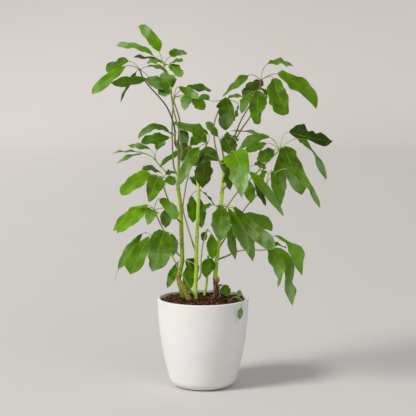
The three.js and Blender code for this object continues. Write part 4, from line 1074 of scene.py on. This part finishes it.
def foot_point(settings, turn):
    """A point on the pot's rounded lower edge after turning through an angle."""
    return (settings.base_radius + settings.foot_round * math.sin(turn),
            settings.foot_round * (1 - math.cos(turn)))


def side_radius(settings, z, height, mouth):
    """Radius of the pot's outer side at a height."""
    foot_radius, foot_top = foot_point(settings, FOOT_TURN)
    along = (z - foot_top) / (height - foot_top)
    return foot_radius + (mouth - foot_radius) * along + settings.side_bulge * math.sin(math.pi * along)


def pot_size():
    """Height and mouth radius of the pot."""
    _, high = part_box("pot")
    return high.z, high.x


class PLANT_OT_pot(Operator):
    """Make the smooth white pot"""
    bl_idname = "plant.make_pot"
    bl_label = "Make pot"

    def execute(self, context):
        settings = context.scene.plant_pot
        wall, lip = settings.wall, settings.lip_round
        height, mouth = pot_size()
        _, foot_top = foot_point(settings, FOOT_TURN)
        floor = wall + MM
        profile = [(0.0, 0.0)]
        profile += [foot_point(settings, FOOT_TURN * i / 20) for i in range(21)]
        profile += [(side_radius(settings, z, height, mouth), z)
                    for z in np.linspace(foot_top, height - lip, 33)[1:]]
        profile += [(mouth - 0.5 * wall * (1 - math.cos(turn)), height - lip * (1 - math.sin(turn)))
                    for turn in np.linspace(0, math.pi, 13)[1:]]
        profile += [(side_radius(settings, z, height, mouth) - wall, z)
                    for z in np.linspace(height - lip, foot_top + wall, 17)[1:]]
        profile += [(settings.base_radius + floor, floor), (0.0, floor)]
        settle(new_piece("pot_shell", lathe("pot_shell", profile, 160), pot_finish(settings)), "pot")
        return {"FINISHED"}


class PLANT_OT_soil(Operator):
    """Fill the pot with bark soil and scatter chips on it"""
    bl_idname = "plant.make_soil"
    bl_label = "Make soil"

    def execute(self, context):
        settings, pot = context.scene.plant_soil, context.scene.plant_pot
        height, mouth = pot_size()
        _, foot_top = foot_point(pot, FOOT_TURN)
        inset = pot.wall + SOIL_GAP
        edge = mouth - inset
        floor = pot.wall + SOIL_FLOOR_GAP
        profile = [(0.0, floor), (pot.base_radius + pot.wall, floor)]
        profile += [(side_radius(pot, z, height, mouth) - inset, z)
                    for z in np.linspace(foot_top + pot.wall, settings.top, 9)[:-1]]
        rings = 34
        for inward in (i / rings for i in range(rings + 1)):
            rise = settings.mound * math.sin(0.5 * math.pi * inward)
            profile.append((edge * (1 - inward), settings.top + rise))
        data = lathe("soil_fill", profile, 96)
        top = data.attributes.new("upper", "FLOAT", "POINT")
        for point, flag in zip(data.vertices, top.data):
            radius = point.co.xy.length
            if point.co.z > settings.top - MM and radius < edge - 0.5 * MM:
                rough = noise.fractal(point.co * 45.0, 0.7, 2.1, 4)
                point.co.z += SOIL_ROUGHNESS * rough * min(1.0, (edge - radius) / (8 * MM))
                flag.value = 1.0 if radius < edge - BARE_RIM else 0.0
        piece = new_piece("bark_soil", data)
        run_tree(piece, soil_tree(), {"Density": settings.chips * 1000.0, "Length": settings.chip_length,
                                      "Seed": 7, "Bark material": bark_soil_finish(settings)})
        settle(piece, "soil")
        return {"FINISHED"}


def path_piece(name, places, steps, stub=None):
    """A bare path through (x, z, depth, radius) places, ready for a tube, with an old stub's swelling."""
    carrier = Carrier()
    points = smooth_path([seen(x, z, depth) for x, z, depth, _ in places], steps)
    radii = spread([radius for *_, radius in places], steps)
    if stub:
        height, half_height, rise = stub
        swelling = rise * np.exp(-((points[:, 2] - height) / half_height) ** 2)
        radii += swelling
        points[:, 0] += swelling
    carrier.add_path(points, radii, 0.0)
    return new_piece(name, carrier.mesh(name))


class PLANT_OT_stems(Operator):
    """Make the green stems, the shoot, the woody cane and the aerial roots"""
    bl_idname = "plant.make_stems"
    bl_label = "Make stems"

    def execute(self, context):
        settings = context.scene.plant_stems
        tree = stem_tree()

        def grow(piece, node, sides, spacing, rise, unevenness, finish):
            """Turns a bare path into a ringed stem; the unevenness is in millimetres."""
            run_tree(piece, tree, {"Sides": sides, "Spacing": spacing, "Rise": rise,
                                   "Unevenness": unevenness * MM, "Stem material": finish})
            settle(piece, node)

        older = tuple(0.55 * shade + 0.45 * green for shade, green in zip(settings.shade, settings.green))
        fresh = stem_finish("fresh_stem", settings.green, older, settings)
        yellow = stem_finish("yellow_stem", settings.shade, rgba(settings.shade, 0.5), settings)
        footed = stem_finish("stem_with_brown_foot", settings.green, older, settings, FOOT_HEIGHT)
        finishes = {"stem_left": yellow, "stem_right": footed}
        for name, places in STEMS.items():
            grow(path_piece(name + "_bark", places, 150, STUBS.get(name)), name, 20,
                 settings.ring_spacing, settings.ring_rise, 0.8, finishes.get(name, fresh))
        grow(path_piece("cane_wood", CANE, 90), "woody_cane", 24,
             settings.cane_ring_spacing, 0.14, 2.4, cane_finish(settings))
        dry = root_finish(settings)
        for name, places in AERIAL_ROOTS.items():
            grow(path_piece(name + "_fibre", places, 60), name, 12, 7 * MM, 0.12, 1.2, dry)
        return {"FINISHED"}


def foliage_piece(name, carrier, tree, blade, stalk):
    """Blades and stalks from a carrier, with the tubes and hubs made by the leaf tree."""
    piece = new_piece(name, carrier.mesh(name), blade)
    piece.data.polygons.foreach_set("use_smooth", [True] * len(piece.data.polygons))
    run_tree(piece, tree, {"Sides": 8, "Stalk material": stalk})
    return piece


def leaf_piece(plan, number, tree, blade, stalk, settings):
    carrier = Carrier()
    draws = Draws(LEAF_SEED + number)
    hub_depth = plan.hub[2]
    hub = seen(*plan.hub)
    places = [seen(*place) for place in plan.stalk] + [hub]
    steps = 14 * len(places)
    carrier.add_path(smooth_path(places, steps), spread(STALK_RADII, steps), plan.brown)
    carrier.add_hub(hub, HUB_RADIUS, plan.brown)
    ragged = RAGGED.get(plan.name, EVEN_MARGIN)
    painted_highlights = PAINTED_HIGHLIGHT.get(plan.name, {})
    for place, row in enumerate(plan.leaflets):
        base_x, base_z, tip_x, tip_z, reach, width, arch, face, yaw, bow, tone = row
        base = seen(base_x, base_z, hub_depth + BASE_SHARE * reach)
        tip = seen(tip_x, tip_z, hub_depth + reach)
        sides = MARGINS.get((plan.name, place))
        if sides and face < 0:
            sides = sides[::-1]
        add_leaflet(carrier, hub, base, tip, width, arch, bow, look_vector(face, yaw), draws, tone,
                    painted_highlights.get(place, EVEN_PAINTED_HIGHLIGHT), plan.brown * 0.7, 0.5 * EVEN_MARGIN if sides else ragged,
                    sides, settings)
    if plan.name in DRY_TIPS:
        hair = smooth_path([seen(*place) for place in DRY_TIPS[plan.name]], 20)
        carrier.add_path(hair, np.linspace(0.5, 0.3, 21), 1.0)
    settle(foliage_piece(plan.name + "_foliage", carrier, tree, blade, stalk), plan.name)


class PLANT_OT_leaves(Operator):
    """Make every leaf: its stalk, hub, leaflets and veins"""
    bl_idname = "plant.make_leaves"
    bl_label = "Make leaves"

    def execute(self, context):
        settings = context.scene.plant_leaves
        tree = leaf_tree()
        blade = leaf_finish("waxy_leaf", settings, settings.bright, settings.dark, settings.vein,
                            settings.underside)
        stalk = stalk_finish(settings)
        for number, plan in enumerate(LEAVES):
            leaf_piece(plan, number, tree, blade, stalk, settings)
        return {"FINISHED"}


class PLANT_OT_creeper(Operator):
    """Make the small weed that hangs over the lip"""
    bl_idname = "plant.make_creeper"
    bl_label = "Make creeper"

    def execute(self, context):
        settings, leaves = context.scene.plant_creeper, context.scene.plant_leaves
        carrier = Carrier()
        draws = Draws(CREEPER_SEED)
        brown, tone, ragged = 0.2, 0.5, 0.02
        points = smooth_path([seen(x, z, depth) for x, z, depth, _ in CREEPER_STEM], 60)
        carrier.add_path(points, spread([radius for *_, radius in CREEPER_STEM], 60), brown)
        for root_x, root_z, tip_x, tip_z, root_depth, tip_depth, width, arch, face in CREEPER_LEAFLETS:
            root, tip = seen(root_x, root_z, root_depth), seen(tip_x, tip_z, tip_depth)
            base = root + CREEPER_STALK_SHARE * (tip - root)
            add_leaflet(carrier, root, base, tip, width, arch, 0.0, look_vector(face, 0.0), draws, tone, 0.0,
                        brown, ragged, None, leaves)
        blade = leaf_finish("weed_leaf", leaves, settings.leaf, rgba(settings.leaf, 0.5), settings.stem,
                            settings.leaf)
        piece = foliage_piece("creeper_spray", carrier, leaf_tree(), blade, weed_stem_finish(settings))
        settle(piece, "creeper")
        return {"FINISHED"}


# ---- Stage, in metres ----
FLOOR_RADIUS = 12.0
FLOOR_SWEEP = 2.5
WALL_TOP = 4.0
LENS = 116.74  # millimetres, with the sensor's width
SENSOR = 36.0
CAMERA_TILT = 6.58  # degrees below the horizon
SUNLIGHT = (1.0, 0.62, -0.95)  # where the key light shines to
SUN_SPREAD = 18  # degrees
WARM, COOL, SKY = (1.0, 0.985, 0.965), (0.97, 0.98, 1.0), (0.96, 0.98, 1.0)
FILL_PLACE, FILL_TARGET, FILL_SIZE = (1.6, -3.0, 2.6), (0.0, 0.0, 0.5), 1.6


def add_light(data, tint, power, direction):
    """Puts a lamp into the scene, turned to shine in a direction."""
    data.color = tint
    data.energy = power
    light = bpy.data.objects.new(data.name, data)
    light.rotation_euler = direction.to_track_quat("-Z", "Y").to_euler()
    bpy.context.scene.collection.objects.link(light)
    return light


def backdrop():
    """A wide round floor that sweeps up into a low pale wall on every side."""
    flat = FLOOR_RADIUS - FLOOR_SWEEP
    profile = [(0.0, 0.0), (2.0, 0.0), (flat, 0.0)]
    profile += [(flat + FLOOR_SWEEP * math.sin(a), FLOOR_SWEEP * (1 - math.cos(a)))
                for a in np.linspace(0, math.pi / 2, 17)[1:]]
    profile.append((FLOOR_RADIUS, WALL_TOP))
    data = lathe("floor", profile, 72)
    if data.polygons[0].normal.z < 0:
        data.flip_normals()
    return data


class PLANT_OT_stage(Operator):
    """Make the pale floor, the soft lights and the camera"""
    bl_idname = "plant.make_stage"
    bl_label = "Make stage"

    def execute(self, context):
        scene, settings = context.scene, context.scene.plant_stage
        floor = new_piece("floor", backdrop(), floor_finish(settings))
        sun = bpy.data.lights.new("key_light", "SUN")
        sun.angle = math.radians(SUN_SPREAD)
        add_light(sun, WARM, settings.key, Vector(SUNLIGHT))
        fill = bpy.data.lights.new("fill_light", "AREA")
        fill.shape, fill.size = "DISK", FILL_SIZE
        add_light(fill, COOL, settings.fill, Vector(FILL_TARGET) - Vector(FILL_PLACE)).location = FILL_PLACE
        world = bpy.data.worlds.new("studio")
        world.use_nodes = True
        background = world.node_tree.nodes["Background"].inputs
        background["Color"].default_value = rgba(SKY)
        background["Strength"].default_value = settings.sky
        scene.world = world
        scene.view_settings.view_transform = "Standard"

        data = bpy.data.cameras.new("camera")
        data.lens = LENS
        data.sensor_width = SENSOR
        camera = bpy.data.objects.new("camera", data)
        camera.location = EYE * MM
        camera.rotation_euler = (math.radians(90.0 - CAMERA_TILT), 0.0, 0.0)
        scene.collection.objects.link(camera)
        scene.camera = camera
        return {"FINISHED"}


# ---- Sidebar and registration ----
SETTINGS = {"plant_pot": PotSettings, "plant_soil": SoilSettings, "plant_stems": StemSettings,
            "plant_leaves": LeafSettings, "plant_creeper": CreeperSettings, "plant_stage": StageSettings}


class PLANT_PT_sidebar(Panel):
    """Lists each piece's settings and the button that makes it"""
    bl_label = "Umbrella plant"
    bl_idname = "PLANT_PT_sidebar"
    bl_space_type = "VIEW_3D"
    bl_region_type = "UI"
    bl_category = "Umbrella plant"

    def draw(self, context):
        for group in SETTINGS:
            box = self.layout.box()
            settings = getattr(context.scene, group)
            for name in settings.__annotations__:
                box.prop(settings, name)
            box.operator(group.replace("plant_", "plant.make_"))


CLASSES = [*SETTINGS.values(), PLANT_OT_pot, PLANT_OT_soil, PLANT_OT_stems, PLANT_OT_leaves,
           PLANT_OT_creeper, PLANT_OT_stage, PLANT_PT_sidebar]


def register():
    for made in CLASSES:
        bpy.utils.register_class(made)
    for name, group in SETTINGS.items():
        setattr(bpy.types.Scene, name, PointerProperty(type=group))


def unregister():
    for name in SETTINGS:
        delattr(bpy.types.Scene, name)
    for made in reversed(CLASSES):
        bpy.utils.unregister_class(made)


def main():
    register()
    bpy.ops.plant.make_stage()
    bpy.ops.plant.make_pot()
    bpy.ops.plant.make_soil()
    bpy.ops.plant.make_stems()
    bpy.ops.plant.make_leaves()
    bpy.ops.plant.make_creeper()


if __name__ == "__main__":
    main()
